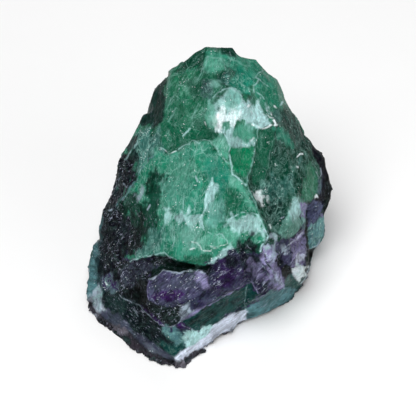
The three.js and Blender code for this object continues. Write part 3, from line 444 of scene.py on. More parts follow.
# Pale ridges, seams and cracks in picture pixels: (name, colour, half-width, cover, height in mm, points).
LINES = [
    ("lip_ridge", "pale_aqua", 0.5, 0.6, 0.12,
     [(160, 147), (166, 151), (170, 154), (175, 152), (180, 148), (188, 144), (193, 141), (200, 143),
      (204, 140), (208, 141), (211, 142), (216, 148), (222, 158), (227, 163)]),
    ("lip_ridge_vee", "white", 0.6, 0.65, 0.15, [(166, 151), (170, 154), (176, 151)]),
    ("window_left", "pale_aqua", 0.8, 0.7, 0.15,
     [(225, 127), (224, 133), (228, 141), (230, 148), (228, 152), (231, 163), (233, 174), (240, 181),
      (246, 186)]),
    ("window_right", "pale_green", 0.9, 0.8, 0.15,
     [(257, 130), (255, 148), (252, 164), (248, 176), (246, 184), (250, 193), (256, 205), (257, 212),
      (262, 220)]),
    ("left_ridge", "grey_teal", 0.9, 0.75, 0.12,
     [(154, 156), (148, 161), (143, 168), (139, 173), (138, 180), (131, 187), (127, 195), (120, 201),
      (116, 207)]),
    ("lower_lip_left", "pale_aqua", 0.7, 0.65, 0.15,
     [(130, 262), (139, 258), (146, 256), (152, 255), (158, 254), (165, 252), (170, 256), (176, 259)]),
    ("lower_lip_right", "sea_green", 0.8, 0.6, 0.1,
     [(180, 260), (190, 263), (200, 265), (208, 263), (216, 257)]),
    ("squiggle_left", "white", 0.40, 0.7, 0.12,
     [(192, 242), (197, 243), (200, 247), (201, 250), (205, 252), (211, 251)]),
    ("squiggle_right", "white", 0.40, 0.7, 0.12,
     [(210, 246), (214, 248), (218, 248), (222, 245), (228, 243)]),
    ("squiggle_blob", "white", 0.9, 0.7, 0.15, [(190, 249), (194, 249)]),
    ("seam_left", "pale_grey", 0.6, 0.8, 0.0,
     [(120, 296), (133, 303), (140, 306), (146, 312), (152, 318), (160, 324), (167, 327), (173, 327),
      (178, 324), (182, 321)]),
    ("seam_right", "lilac", 0.6, 0.75, 0.0,
     [(182, 320), (192, 313), (200, 308), (215, 302), (228, 294), (240, 287), (252, 281), (258, 294)]),
    ("rib_ridge", "pale_aqua", 1.0, 0.85, 0.15,
     [(212, 184), (207, 191), (206, 199), (207, 205), (204, 212), (202, 220), (204, 230)]),
    ("rib_branch", "pale_aqua", 1.2, 0.7, 0.1, [(212, 178), (213, 186), (218, 188)]),
    ("pale_peak", "pale_aqua", 1.1, 0.7, 0.1, [(196, 176), (197, 181)]),
    ("lower_pale_ridge", "pale_aqua", 0.8, 0.7, 0.1,
     [(228, 221), (234, 217), (242, 212), (252, 213), (258, 216), (264, 228), (268, 238), (262, 246),
      (260, 252)]),
    ("lower_cross", "pale_aqua", 0.6, 0.6, 0.05, [(208, 232), (214, 235), (222, 234), (228, 243)]),
    ("crown_ridge", "pale_green", 0.8, 0.75, 0.15,
     [(208, 56), (206, 63), (203, 70), (200, 76), (198, 80)]),
    ("crown_step", "pale_green", 0.7, 0.6, 0.1,
     [(208, 57), (216, 58), (221, 58), (225, 65), (225, 70)]),
    # Pale streaks on the dome, partly painted glints (painted highlights).
    ("dome_glint_streak_a", "pale_aqua", 1.0, 0.6, 0.05, [(172, 97), (176, 93), (179, 89)]),
    ("dome_glint_streak_b", "pale_aqua", 1.1, 0.7, 0.06, [(183, 136), (187, 131), (190, 128)]),
    ("dome_glint_streak_c", "pale_green", 1.0, 0.6, 0.05, [(168, 122), (173, 114), (176, 108)]),
    ("dome_glint_streak_d", "pale_green", 0.8, 0.6, 0.04, [(192, 118), (196, 110), (199, 104)]),
    ("dome_glint_streak_e", "white", 0.8, 0.7, 0.05, [(205, 122), (206, 126)]),
    ("crown_rim", "grey_violet", 1.2, 0.6, 0.05, [(222, 47), (229, 47), (235, 49)]),
    ("crown_fold_a", "pale_green", 0.8, 0.55, 0.06, [(228, 58), (238, 62), (246, 66), (253, 66)]),
    ("crown_fold_b", "pale_green", 0.7, 0.5, 0.05, [(232, 76), (240, 82), (246, 88)]),
    ("crown_fold_c", "grey_green", 0.9, 0.55, 0.05, [(180, 74), (190, 70), (199, 68)]),
    ("shoulder_thread_a", "pale_aqua", 0.8, 0.55, 0.04, [(126, 160), (132, 150), (139, 142)]),
    ("shoulder_thread_b", "pale_green", 0.8, 0.5, 0.04, [(140, 158), (148, 148), (156, 140)]),
    ("face_thread_a", "pale_aqua", 0.7, 0.6, 0.04, [(175, 232), (174, 240), (173, 248)]),
    ("face_thread_b", "pale_aqua", 0.7, 0.5, 0.04, [(184, 196), (183, 206), (184, 212)]),
    ("face_thread_c", "pale_aqua", 0.6, 0.5, 0.04, [(196, 200), (195, 210)]),
    ("shard_thread_a", "pale_grey", 0.6, 0.7, 0.05, [(262, 252), (268, 256), (276, 256), (283, 250)]),
    ("shard_thread_b", "pale_grey", 0.5, 0.6, 0.04, [(259, 262), (266, 270), (272, 282)]),
    ("shard_thread_c", "pale_aqua", 0.7, 0.6, 0.05, [(258, 243), (264, 240), (269, 236)]),
    ("column_thread", "seam_white", 0.6, 0.7, 0.04, [(288, 244), (296, 239), (303, 233)]),
    ("column_foot", "violet", 0.7, 0.8, 0.04, [(291, 268), (297, 266), (303, 262)]),
    ("lens_edge", "pale_aqua", 0.8, 0.65, 0.1,
     [(262, 71), (258, 74), (256, 78), (259, 80), (256, 84), (253, 86), (254, 92)]),
    ("lens_scratch_a", "pale_aqua", 0.6, 0.6, 0.0, [(260, 80), (264, 83), (268, 86)]),
    ("lens_scratch_b", "pale_aqua", 0.6, 0.55, 0.0, [(257, 92), (261, 96), (264, 99)]),
    ("white_top", "pale_aqua", 0.7, 0.55, 0.1, [(214, 97), (217, 93), (224, 89), (230, 88), (236, 92)]),
    # Painted highlights: small white spots of light near the white field and the right lens.
    ("highlight_spot_a", "white", 1.8, 0.9, 0.1, [(247, 106), (249, 105)]),
    ("highlight_spot_b", "white", 1.8, 0.85, 0.15, [(274, 106), (276, 108)]),
    ("highlight_spot_c", "pale_aqua", 1.3, 0.8, 0.1, [(280, 105), (282, 102)]),
    ("highlight_triangle", "white", 1.3, 0.95, 0.15, [(273, 121), (277, 125), (274, 125)]),
    ("chip_arc_a", "white", 0.6, 0.7, 0.05, [(267, 111), (270, 112), (272, 115)]),
    ("chip_arc_b", "white", 0.6, 0.7, 0.05, [(268, 115), (270, 117), (273, 118)]),
    ("white_lower_edge", "white", 1.0, 0.7, 0.1,
     [(252, 124), (258, 127), (263, 129), (268, 127), (271, 125)]),
    ("dash_a", "white", 0.8, 0.75, 0.05, [(250, 141), (254, 138)]),
    ("dash_b", "white", 0.8, 0.7, 0.05, [(267, 142), (272, 141)]),
    ("right_chip", "white", 0.9, 0.85, 0.1, [(297, 157), (299, 155), (302, 154)]),
    ("right_chip_low", "white", 1.2, 0.8, 0.1, [(296, 166), (298, 167)]),
    ("rim_chip", "white", 1.2, 0.95, 0.1, [(314, 198), (316, 195), (317, 197)]),
    ("rim_line", "pale_grey", 0.7, 0.6, 0.05, [(316, 171), (318, 178), (321, 174), (321, 168)]),
    # Painted highlight along the top edge of the block, lit from above.
    ("block_top_highlight", "pale_grey", 0.9, 0.8, 0.1,
     [(149, 280), (158, 276), (163, 271), (170, 272), (178, 273), (188, 272), (198, 270), (204, 273)]),
    ("block_right_edge", "lilac", 1.0, 0.8, 0.1, [(204, 273), (208, 280), (206, 287)]),
    ("block_left_edge", "lilac", 0.8, 0.6, 0.1, [(149, 281), (147, 290), (149, 300)]),
    ("shard_edge", "pale_grey", 0.6, 0.5, 0.1, [(268, 240), (264, 245), (260, 251)]),
    ("shard_right_edge", "pale_grey", 0.9, 0.7, 0.1,
     [(270, 268), (276, 279), (281, 284), (284, 288)]),
    ("shard_crescent", "black", 1.1, 0.9, -0.15, [(265, 255), (266, 261), (270, 267)]),
    ("blade_edge", "pale_aqua", 0.6, 0.7, 0.08, [(296, 198), (300, 206), (303, 216), (304, 226)]),
    ("blade_line", "pale_grey", 0.6, 0.5, 0.0, [(291, 214), (296, 209), (300, 216)]),
    ("blade_foot", "plum", 1.0, 0.8, -0.1, [(291, 238), (297, 236), (303, 231)]),
    ("toe_edge", "pale_grey", 0.9, 0.8, 0.05, [(309, 249), (316, 245), (321, 239)]),
    ("gap_chip", "pale_grey", 0.9, 0.8, 0.1, [(281, 219), (284, 217)]),
    ("gap_chip_b", "white", 1.0, 0.8, 0.1, [(270, 225), (271, 228)]),
    ("wall_chip_a", "pale_grey", 1.2, 0.7, 0.1, [(110, 210), (114, 208)]),
    ("wall_chip_b", "pale_grey", 1.3, 0.75, 0.1, [(125, 185), (127, 188)]),
    ("wall_chip_c", "pale_grey", 1.1, 0.7, 0.1, [(148, 209), (151, 206)]),
    ("blob_shine", "white", 1.0, 0.85, 0.05, [(105, 282), (107, 285)]),
    ("slab_scratch", "pale_grey", 0.6, 0.6, 0.0, [(134, 309), (136, 312), (138, 316)]),
    ("slab_edge", "pale_grey", 0.6, 0.5, 0.0, [(182, 324), (190, 329), (200, 332)]),
    ("lobe_line", "pale_aqua", 0.7, 0.5, 0.05, [(247, 284), (246, 296), (244, 304), (246, 310)]),
    # Painted shade: black lines along the gap and the outline of the shadowed right side.
    ("right_gap_shade", "black", 1.9, 0.95, -0.3, [(308, 212), (307, 225), (308, 245), (310, 258), (308, 270)]),
    ("right_shade_rim", "black", 2.4, 1.0, 0.0, [(327, 178), (328, 194), (326, 205), (322, 212)]),
    ("foot_shade_rim", "black", 1.8, 0.95, 0.0, [(312, 250), (311, 258), (309, 264)]),
    ("crust_crack_a", "black", 1.0, 0.7, -0.2, [(100, 320), (108, 325), (116, 328)]),
    ("crust_crack_b", "black", 1.0, 0.7, -0.2, [(150, 353), (160, 359), (172, 363)]),
    ("crust_crack_c", "black", 0.9, 0.6, -0.2, [(130, 336), (138, 334)]),
    ("crust_notch_a", "black", 1.1, 0.8, -0.3, [(112, 327), (115, 331), (117, 336)]),
    ("crust_notch_b", "black", 1.0, 0.7, -0.3, [(128, 334), (128, 340), (131, 345)]),
    ("crust_notch_c", "black", 1.1, 0.8, -0.3, [(146, 350), (148, 356), (152, 360)]),
    ("crust_notch_d", "black", 1.0, 0.7, -0.3, [(171, 362), (172, 367), (175, 370)]),
]

# The growth bands on the hidden side, from the table up: (name, colour, kind, top in mm).
BANDS = [
    ("crust", "crust", "crusty", 2.6),
    ("seam", "seam_white", "cloud", 4.0),
    ("teal_slab", "teal", "banded", 9.0),
    ("purple_low", "violet", "broken", 13.5),
    ("purple_mid", "lilac", "banded", 16.0),
    ("purple_high", "plum", "broken", 22.0),
    ("purple_dark", "black_violet", "broken", 27.0),
    ("green_low", "bottle_green", "broken", 33.0),
    ("green_mid", "mid_green", "silk", 44.0),
    ("green_high", "dome_green", "silk", 54.0),
    ("green_top", "leaf_green", "silk", 90.0),
]

# What every point of the skin carries besides its colour and its run.
SURFACE_VALUES = ("relief", "mottle", "rough", "fleck", "veil", "scratch")

# How the threads of each run lie: the picture direction that they follow, right and up, and how far they
# are drawn out. The run "layers" makes level sheets instead, drawn out sideways.
RUN_DIRECTIONS = {
    "hanging": (0.12, 1.0, 3.4),
    "dome_left": (0.55, 0.85, 3.4),
    "dome_right": (-0.55, 0.85, 3.4),
    "tufted": (0.75, 0.65, 4.6),
    "falling": (0.78, -0.60, 10.0),
    "rising": (0.84, 0.54, 10.0),
}
RUNS = [*RUN_DIRECTIONS, "layers"]
LAYER_STRETCH = 10.0
# How far the threads are drawn out along the sight line, so that they keep their run on slanted faces.
DEPTH_STRETCH = 3.0

# The curve from display values to linear light.
DISPLAY_TOP = 255.0
CURVE_START, CURVE_START_SLOPE = 0.04045, 12.92
CURVE_SHIFT, CURVE_WHOLE, CURVE_POWER = 0.055, 1.055, 2.4

# The numbers that mix a lattice cell into one that looks random: a factor for each direction, the rounds of
# shifting and multiplying, the highest number, and how many low bits are dropped at the end.
CELL_FACTORS = np.array([73856093, 19349663, 83492791])
CELL_ROUNDS = ((13, 1274126177), (11, 668265263))
CELL_TOP = 0x7FFFFFFF
CELL_DROP = 7
# How many lattice cells each seed moves its noise or its facets along, and each chance of a facet.
NOISE_SEED_STEP = 31.7
FACET_SEED_STEP = 17.3
CHANCE_STEP = 101
# Each finer layer of a noise: how much smaller and weaker it is, and how far on its seed is.
LAYER_FINER, LAYER_WEAKER, LAYER_SEED_STEP = 2.1, 0.55, 5
# The seed of each noise on the skin.
SEEDS = {
    "band_warp": 3,
    "relief_lumps": 5,
    "facets": 7,
    "clouds": 11,
    "relief_breaks": 13,
    "dark_breaks": 17,
    "relief_fine": 19,
    "ragged_broad": 23,
    "ragged_fine": 29,
    "feather": 31,
    "cracks": 37,
    "line_wander_x": 41,
    "line_wander_y": 43,
    "line_breaks": 47,
    "streaks": 61,
    "veils": 67,
}
# Farther off than anything on the stone, and shorter than anything on it.
FAR_OFF = 1e9
TINY = 1e-12
# The whole skin, where a part of it could be named.
EVERYWHERE = slice(None)

# The mesh: corners alike to this many decimals of a mm are one, edges are halved and the skin is rounded
# off in this many rounds, by this share in each, and corners lower than the foot's height, in mm, stay on
# the table.
JOINED_DECIMALS = 3
DIVISION_ROUNDS = 5
SMOOTH_ROUNDS = 4
SMOOTH_SHARE = 0.5
FOOT_HEIGHT = 0.02
# How far a point has to face the eye, from -1 to 1: to get the fine mesh, and to get the patches.
SHOWN_FROM = -0.12
SHOWN_FADE = (-0.18, 0.02)

# The growth bands: how far they wander up and down and over what length, how soft their borders are, and a
# height under all of them, in mm.
BAND_WARP = 3.2
BAND_WARP_SIZE = 16.0
BAND_SOFT = 1.1
BAND_FLOOR = -1e3
# Pale clouds and dark breaks over the bands: their size in mm, the way the clouds lean and are drawn out,
# where each one's noise starts to show and how far on it is full, how strongly they cover, and the heights
# between which the clouds set in.
CLOUD_SIZE = 13.0
CLOUD_LEAN, CLOUD_STRETCH = (0.3, 0.2, 1.0), 2.0
CLOUD_START = 0.28
BREAK_START = 0.30
CLOUD_FADE = 0.6
CLOUD_COVER = 0.6
CLOUD_HEIGHTS = (24.0, 32.0)

# The ragged edges of the patches: the share and the size in pixels of their broad and fine noise.
RAGGED_BROAD, RAGGED_BROAD_SIZE = 0.7, 10.0
RAGGED_FINE, RAGGED_FINE_SIZE = 0.6, 3.5
# Their feathered edges: the share of the feathers, their size in mm and how far they are drawn out, and
# half the edge's width in pixels, at the least and for each step of softness.
FEATHER_SHARE, FEATHER_SIZE, FEATHER_STRETCH = 0.7, 1.7, 3.0
EDGE_LEAST, EDGE_PER_SOFT = 0.35, 0.28
# How far outside its outline a patch is looked for, in pixels for each step of softness and raggedness.
MARGIN_PER_SOFT, MARGIN_PER_RAGGED = 1.6, 2.0

# The lines, in pixels: their drawn width as a share of the widths listed, how far off a line is looked for
# and has the finest mesh, how far and over what length it wanders, and over what length it breaks.
LINE_WIDTH = 0.55
LINE_REACH = 5.0
LINE_FINE_REACH = 2.0
LINE_WANDER, LINE_WANDER_SIZE = 0.8, 5.0
LINE_BREAK_SIZE = 3.0
# How far the breaks change its width, the break noise between which it fades in, how far inside and outside
# its border it fades out, how far outside its height does, and how far the stone has to face the eye.
LINE_BREAK_SHARE = 0.5
LINE_BREAK_FADE = (-1.1, 0.1)
LINE_INSIDE, LINE_OUTSIDE = 0.35, 0.5
LINE_RISE_REACH = 2.0
LINE_SHOWN_FADE = (0.2, 0.5)

# Broken facets: their size in mm, how much their tone wanders, how far they step in and out in mm.
FACET_SIZE = 7.0
FACET_TONE, FACET_TONE_SHOWN = 0.30, 0.08
FACET_STEP, FACET_STEP_SHOWN = 1.1, 0.15
# Pale veins and dark seams on the facets' borders: how wide they are as a share of a facet, how strongly
# they cover, and the size in mm and the start of the noise that says where they are.
VEIN_BORDER, VEIN_COVER = (0.02, 0.16), 0.4
SEAM_BORDER, SEAM_COVER = (0.02, 0.14), 0.6
CRACK_SIZE, CRACK_FADE = 9.0, (0.0, 0.5)
# Streaks along the threads and broad veils: their size in mm and how far the veils are drawn out. Both make
# the skin milky where they are high and deep where they are low, each by (share, start, full).
STREAK_SIZE = 1.1
VEIL_SIZE, VEIL_STRETCH = 6.0, 2.0
MILKY_VEILS, MILKY_STREAKS = (0.45, 0.15, 1.0), (0.40, 0.30, 1.1)
DEEP_VEILS, DEEP_STREAKS = (0.8, 0.1, 1.0), (0.8, 0.2, 1.0)
DEEP_COVER = 0.5
# The darkest and palest that the skin may be, as linear light.
SKIN_DARKEST, SKIN_PALEST = 0.0015, 0.95

# Relief: the size of the breaks in mm, how much broader the lumps are, the size of the fine roughness in
# mm, and the share of each.
RELIEF_SIZE = 1.7
LUMPS_BROADER = 2.2
FINE_SIZE = 0.7
LUMP_SHARE, BREAK_SHARE, FINE_SHARE = 0.9, 0.55, 0.45

# Colours of the milky threads, the painted glints (painted highlights) and the scratches, which are partly
# painted highlights on lit edges, as linear light.
VEIL_WHITE = (0.27, 0.52, 0.46, 1.0)
GLINT_WHITE = (0.80, 0.88, 0.90, 1.0)
SCRATCH_AND_EDGE_GREY = (0.44, 0.48, 0.62, 1.0)

# Which inputs of a mixing node are its two colours, and which output is their mixture.
MIX_FIRST, MIX_SECOND, MIX_RESULT = 6, 7, 2
# The finish's noises. A scale on the stone counts per metre, and a scale on its threads per mm.
GRAIN_NOISE = {"scale": 1500.0, "detail": 4.0, "rough": 0.65}
THREAD_NOISE = {"scale": 1.9, "detail": 4.0, "rough": 0.6, "distortion": 0.4}
MILKY_NOISE = {"detail": 3.0, "rough": 0.5, "distortion": 0.8}
SCRATCH_AND_EDGE_NOISE = {"detail": 3.0, "rough": 0.6, "distortion": 0.5}
TUFT_NOISE = {"scale": 300.0, "detail": 4.0}
FINE_BUMP_NOISE = {"scale": 1100.0, "detail": 5.0, "rough": 0.65}
PAPER_NOISE = {"scale": 60.0, "detail": 4.0}
NOISE_MIDDLE = 0.5
# How much the colour wanders with the grain, the threads, the small chips and the broad panes, the scales
# of the chips and panes, and the darkest that a colour is made.
GRAIN_TONE = 1.6
THREAD_TONE = 3.2
CHIP_SCALE, CHIP_TONE = 700.0, 0.45
PANE_SCALE, PANE_TONE = 290.0, 0.75
TONE_LEAST = 0.12
# The panes' borders are bent by noise of this scale and detail, by this many metres.
BEND_SCALE, BEND_DETAIL, BEND_REACH = 420.0, 2.0, 0.0005
# Healed cracks on the panes' borders: how wide they are as a share of a pane, the noise that says where
# they are, and how strongly they cover.
CRACK_WIDTH = 0.040
CRACK_PLACE_SCALE, CRACK_PLACE_FADE = 330.0, (0.48, 0.62)
CRACK_COVER = 0.75
# Milky threads: (scale, level of the ridge, cover). A ridge is so many times steeper than its noise and
# fades in from so far below its level to so far above it. Broad noise says where the threads are.
MILKY_THREADS = ((1.1, 0.92, 0.70), (3.2, 0.84, 0.75))
RIDGE_STEEPNESS = 6.0
RIDGE_BELOW, RIDGE_ABOVE = 0.25, 0.08
MILKY_PLACE_SCALE, MILKY_PLACE_FADE = 260.0, (0.44, 0.62)
# Scratches, partly painted highlights on the lit edges of the fine breaks: (scale, how far along their noise
# is, where it starts, where it is full), and how strong they are outside and inside their tufts.
SCRATCHES_AND_LIT_EDGES = ((2.0, 5.0, 0.60, 0.69), (4.2, 11.0, 0.60, 0.66))
TUFT_FADE = (0.45, 0.60, 0.03, 1.0)
# Painted glints, small painted highlights: (scale, radius as a share of a cell), how much of the radius is
# full, how many of the cells have one, the clusters that they stand in, and how strongly they cover.
GLINTS = ((3200.0, 0.46), (1700.0, 0.30))
GLINT_CORE = 0.55
GLINT_CHANCE = 0.34
CLUSTER_SCALE, CLUSTER_FADE = 420.0, (0.52, 0.62)
GLINT_COVER = 0.85
# The roughness wanders with noise of this scale: between these values of it, from and to these steps.
SHEEN_SCALE, SHEEN_FADE = 700.0, (0.3, 0.7, -0.1, 0.12)
# The bump: the scale and share of its broad and thread noises, its depth in metres, and its strength for
# each mm of relief.
BUMP_BROAD_SCALE, BUMP_BROAD_SHARE = 330.0, 1.5
BUMP_THREAD_SCALE, BUMP_THREAD_SHARE = 1.6, 0.8
BUMP_DEPTH = 0.00035
BUMP_PER_RELIEF = 2.4
# How strongly fluorite bends light and how strongly it shines, and how far red, green and blue light wander
# in it, in metres, at a scale of 1.
FLUORITE_IOR = 1.434
FLUORITE_GLOSS = 0.02
FLUORITE_DEPTH, DEPTH_SCALE = (0.0012, 0.0026, 0.0022), 1.0

# The floor, in metres: its side, its finish, and the darkest of its paper as a share of its colour.
FLOOR_SIZE = 3.0
FLOOR_ROUGHNESS, FLOOR_GLOSS = 0.9, 0.2
PAPER_DARKEST = 0.985
# The lights, in metres: (name, place, length of its sides, setting that holds its power), and where they
# point.
LIGHTS = (
    ("key", (-0.20, -0.60, 1.05), 0.80, "key_power"),
    ("fill", (0.32, -0.25, 0.22), 0.30, "fill_power"),
    ("rim", (0.05, 0.40, 0.35), 0.30, "fill_power"),
)
LIGHTS_AIM = (0.0, 0.0, 0.03)
SKY_WHITE = (1.0, 1.0, 1.0, 1.0)
# The nearest and farthest that the camera sees, in metres.
CAMERA_NEAR, CAMERA_FAR = 0.01, 20.0


# Colour and noise


def linear(name):
    """A named colour as linear light."""
    display = np.array(COLOURS[name]) / DISPLAY_TOP
    curve = ((display + CURVE_SHIFT) / CURVE_WHOLE) ** CURVE_POWER
    return np.where(display <= CURVE_START, display / CURVE_START_SLOPE, curve)


def eased(low, high, value):
    """0 below low, 1 above high, and smooth between them."""
    share = np.clip((value - low) / (high - low), 0.0, 1.0)
    return share * share * (3.0 - 2.0 * share)


def scattered(cell):
    """A number from 0 to 1 that looks random, the same each time for one lattice cell."""
    number = (cell * CELL_FACTORS).sum(axis=1) & CELL_TOP
    for shift, factor in CELL_ROUNDS:
        number = ((number ^ (number >> shift)) * factor) & CELL_TOP
    return (number >> CELL_DROP) / float(CELL_TOP >> CELL_DROP)


def cloudy(points, size, seed):
    """Smooth noise from -1 to 1 whose lumps are about size across."""
    place = points / size + seed * NOISE_SEED_STEP
    cell = np.floor(place).astype(np.int64)
    part = place - cell
    blend = part * part * (3.0 - 2.0 * part)
    total = np.zeros(len(points))
    for corner in np.ndindex(2, 2, 2):
        weight = np.prod(np.where(np.array(corner) == 1, blend, 1.0 - blend), axis=1)
        total += weight * scattered(cell + np.array(corner))
    return 2.0 * total - 1.0


def layered(points, size, seed, layers=4):
    """Noise with finer and finer layers."""
    total = np.zeros(len(points))
    for layer in range(layers):
        finer = cloudy(points, size / LAYER_FINER**layer, seed + LAYER_SEED_STEP * layer)
        total += finer * LAYER_WEAKER**layer
    return total


def facets(points, size, seed):
    """Flat broken facets about size across: each point's height on its facet, its facet's tone, and how far
    it is from the facet's border."""
    place = points / size + seed * FACET_SEED_STEP
    cell = np.floor(place).astype(np.int64)
    best, second = np.full(len(points), FAR_OFF), np.full(len(points), FAR_OFF)
    height, tone = np.zeros(len(points)), np.zeros(len(points))
    for step in np.ndindex(3, 3, 3):
        near = cell + np.array(step) - 1
        chance = np.stack([scattered(near + CHANCE_STEP * k) for k in range(1, 5)], axis=1)
        offset = place - near - chance[:, :3]
        away = np.sqrt((offset**2).sum(axis=1))
        closer = away < best
        second = np.where(closer, best, np.minimum(second, away))
        best = np.where(closer, away, best)
        tilted = (offset * (2.0 * chance[:, :3] - 1.0)).sum(axis=1)
        height = np.where(closer, tilted, height)
        tone = np.where(closer, 2.0 * chance[:, 3] - 1.0, tone)
    return height, tone, second - best


def stretched(points, direction, stretch):
    """The points drawn together along a direction, so that noise on them makes streaks that way."""
    direction = np.array(direction, float)
    direction /= np.linalg.norm(direction)
    along = points @ direction
    return points - np.outer(along * (1.0 - 1.0 / stretch), direction)


def run_places(points):
    """The points drawn together for each run; the last run makes level layers."""
    places = {}
    for run, (right, rise, stretch) in RUN_DIRECTIONS.items():
        flat_run = stretched(points, right * ACROSS_PICTURE + rise * UP_IN_PICTURE, stretch)
        places[run] = stretched(flat_run, TO_EYE, DEPTH_STRETCH)
    places["layers"] = points * np.array([1.0 / LAYER_STRETCH, 1.0 / LAYER_STRETCH, 1.0])
    return places


# Places in the picture


def sighted(points):
    """Where the points are seen in the picture, in pixels to the right and down."""
    offset = points - SIGHT_AIM
    share = 1.0 / (1.0 - offset @ TO_EYE / SIGHT_DISTANCE)
    x = PICTURE_SIDE / 2 + PIXELS_PER_MM * offset[:, 0] * share
    y = PICTURE_SIDE / 2 - PIXELS_PER_MM * (offset @ UP_IN_PICTURE) * share
    return x, y


def boxed(corners, margin, x, y):
    """Which places in the picture lie in the box round some corners, with a margin."""
    low, high = corners.min(axis=0) - margin, corners.max(axis=0) + margin
    return np.flatnonzero((x > low[0]) & (x < high[0]) & (y > low[1]) & (y < high[1]))


def beside(ax, ay, bx, by, x, y):
    """Distance in pixels to a straight line from a to b."""
    dx, dy = bx - ax, by - ay
    along = np.clip(((x - ax) * dx + (y - ay) * dy) / max(dx * dx + dy * dy, TINY), 0.0, 1.0)
    return np.hypot(x - ax - along * dx, y - ay - along * dy)


def inside_by(corners, x, y):
    """Distance in pixels to an outline, positive inside it."""
    nearest = np.full(len(x), FAR_OFF)
    within = np.zeros(len(x), bool)
    for (ax, ay), (bx, by) in zip(corners, np.roll(corners, -1, axis=0)):
        nearest = np.minimum(nearest, beside(ax, ay, bx, by, x, y))
        if ay != by:
            within ^= ((ay > y) != (by > y)) & (x < ax + (y - ay) * (bx - ax) / (by - ay))
    return np.where(within, nearest, -nearest)


def near_line(line, x, y, wander_x=0.0, wander_y=0.0):
    """Which points lie near a line in the picture, and how far off it they are once they have wandered, in
    pixels."""
    corners = np.array(line, float)
    near = boxed(corners, LINE_REACH, x, y)
    there_x, there_y = (x + wander_x)[near], (y + wander_y)[near]
    nearest = np.full(len(near), FAR_OFF)
    for (ax, ay), (bx, by) in zip(corners[:-1], corners[1:]):
        nearest = np.minimum(nearest, beside(ax, ay, bx, by, there_x, there_y))
    return near, nearest


# The mesh


def solid_mesh():
    """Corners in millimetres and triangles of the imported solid, with shared corners joined."""
    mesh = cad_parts[STONE_NODE].data
    mesh.calc_loop_triangles()
    places = np.empty(len(mesh.vertices) * 3)
    mesh.vertices.foreach_get("co", places)
    places = places.reshape(-1, 3) / MM
    corners = np.empty(len(mesh.loop_triangles) * 3, dtype=np.int32)
    mesh.loop_triangles.foreach_get("vertices", corners)
    points, index = np.unique(np.round(places, JOINED_DECIMALS), axis=0, return_inverse=True)
    triangles = index.ravel()[corners].reshape(-1, 3)
    a, b, c = triangles.T
    whole = (a != b) & (b != c) & (c != a)
    return points, triangles[whole]


def normals_of(points, triangles):
    """Area-weighted corner normals."""
    a, b, c = (points[triangles[:, i]] for i in range(3))
    faces = np.cross(b - a, c - a)
    normals = np.zeros_like(points)
    for i in range(3):
        np.add.at(normals, triangles[:, i], faces)
    return normals / np.maximum(np.linalg.norm(normals, axis=1), TINY)[:, None]


def edge_limits(points, facing, settings):
    """The longest edge allowed at each point, in mm: finest near the lines, coarse on the hidden side."""
    shown = facing > SHOWN_FROM
    limits = np.where(shown, settings.show_edge, settings.hidden_edge) / MM
    x, y = sighted(points)
    for line in LINES:
        near, nearest = near_line(line[-1], x, y)
        near = near[(nearest < LINE_FINE_REACH) & shown[near]]
        limits[near] = settings.line_edge / MM
    return limits


def divided(points, facing, triangles, limits):
    """One round of halving the edges that are longer than either end allows."""
    edges = np.sort(triangles[:, [0, 1, 1, 2, 2, 0]].reshape(-1, 2), axis=1)
    unique, inverse = np.unique(edges, axis=0, return_inverse=True)
    starts, ends = unique.T
    length = np.linalg.norm(points[starts] - points[ends], axis=1)
    split = length > np.minimum(limits[starts], limits[ends])
    number = np.full(len(unique), -1)
    number[split] = len(points) + np.arange(split.sum())
    points = np.vstack([points, (points[starts[split]] + points[ends[split]]) / 2])
    facing = np.concatenate([facing, (facing[starts[split]] + facing[ends[split]]) / 2])
    middles = number[inverse.ravel()].reshape(-1, 3)
    return points, facing, cut(points, triangles, middles)


def cut(points, triangles, middles):
    """The triangles cut at the middles of their edges; an edge that stays whole has the middle -1."""
    halved = middles >= 0
    count = halved.sum(axis=1)
    pieces = [triangles[count == 0]]
    (a, b, c), (ab, _bc, _ca) = turned(triangles, middles, count == 1, np.argmax(halved, axis=1))
    pieces += [np.stack(t, 1) for t in ((a, ab, c), (ab, b, c))]
    (a, b, c), (_ab, bc, ca) = turned(triangles, middles, count == 2, np.argmin(halved, axis=1))
    short = np.linalg.norm(points[a] - points[bc], axis=1) < np.linalg.norm(points[b] - points[ca], axis=1)
    pieces += [np.stack(t, 1)[short] for t in ((a, b, bc), (a, bc, ca))]
    pieces += [np.stack(t, 1)[~short] for t in ((a, b, ca), (b, bc, ca))]
    pieces += [np.stack([ca, bc, c], 1)]
    a, b, c = triangles[count == 3].T
    ab, bc, ca = middles[count == 3].T
    pieces += [np.stack(t, 1) for t in ((a, ab, ca), (ab, b, bc), (ca, bc, c), (ab, bc, ca))]
    return np.vstack(pieces)


def turned(triangles, middles, chosen, first):
    """The corners and middles of the chosen triangles, turned so that each one's first edge is a to b."""
    turn = (first[chosen][:, None] + np.arange(3)) % 3
    corners = np.take_along_axis(triangles[chosen], turn, axis=1)
    return corners.T, np.take_along_axis(middles[chosen], turn, axis=1).T


def smoothed(points, triangles, rounds, share):
    """The corners drawn towards their neighbours, which rounds the solid's facets off."""
    edges = np.vstack([triangles[:, [0, 1]], triangles[:, [1, 2]], triangles[:, [2, 0]]])
    count = np.zeros(len(points))
    np.add.at(count, edges[:, 0], 1.0)
    np.add.at(count, edges[:, 1], 1.0)
    for _ in range(rounds):
        total = np.zeros_like(points)
        np.add.at(total, edges[:, 0], points[edges[:, 1]])
        np.add.at(total, edges[:, 1], points[edges[:, 0]])
        points = points + share * (total / count[:, None] - points)
    return points


# The skin


def plain_skin(count):
    """Arrays of colour and surface values for so many points."""
    skin = {name: np.zeros(count) for name in SURFACE_VALUES}
    skin["colour"] = np.zeros((count, 3))
    skin["run"] = np.zeros((count, len(RUNS)))
    return skin


def tint(skin, where, cover, colour):
    """Draws the colour of part of the skin towards a named one."""
    skin["colour"][where] += cover[:, None] * (linear(colour) - skin["colour"][where])


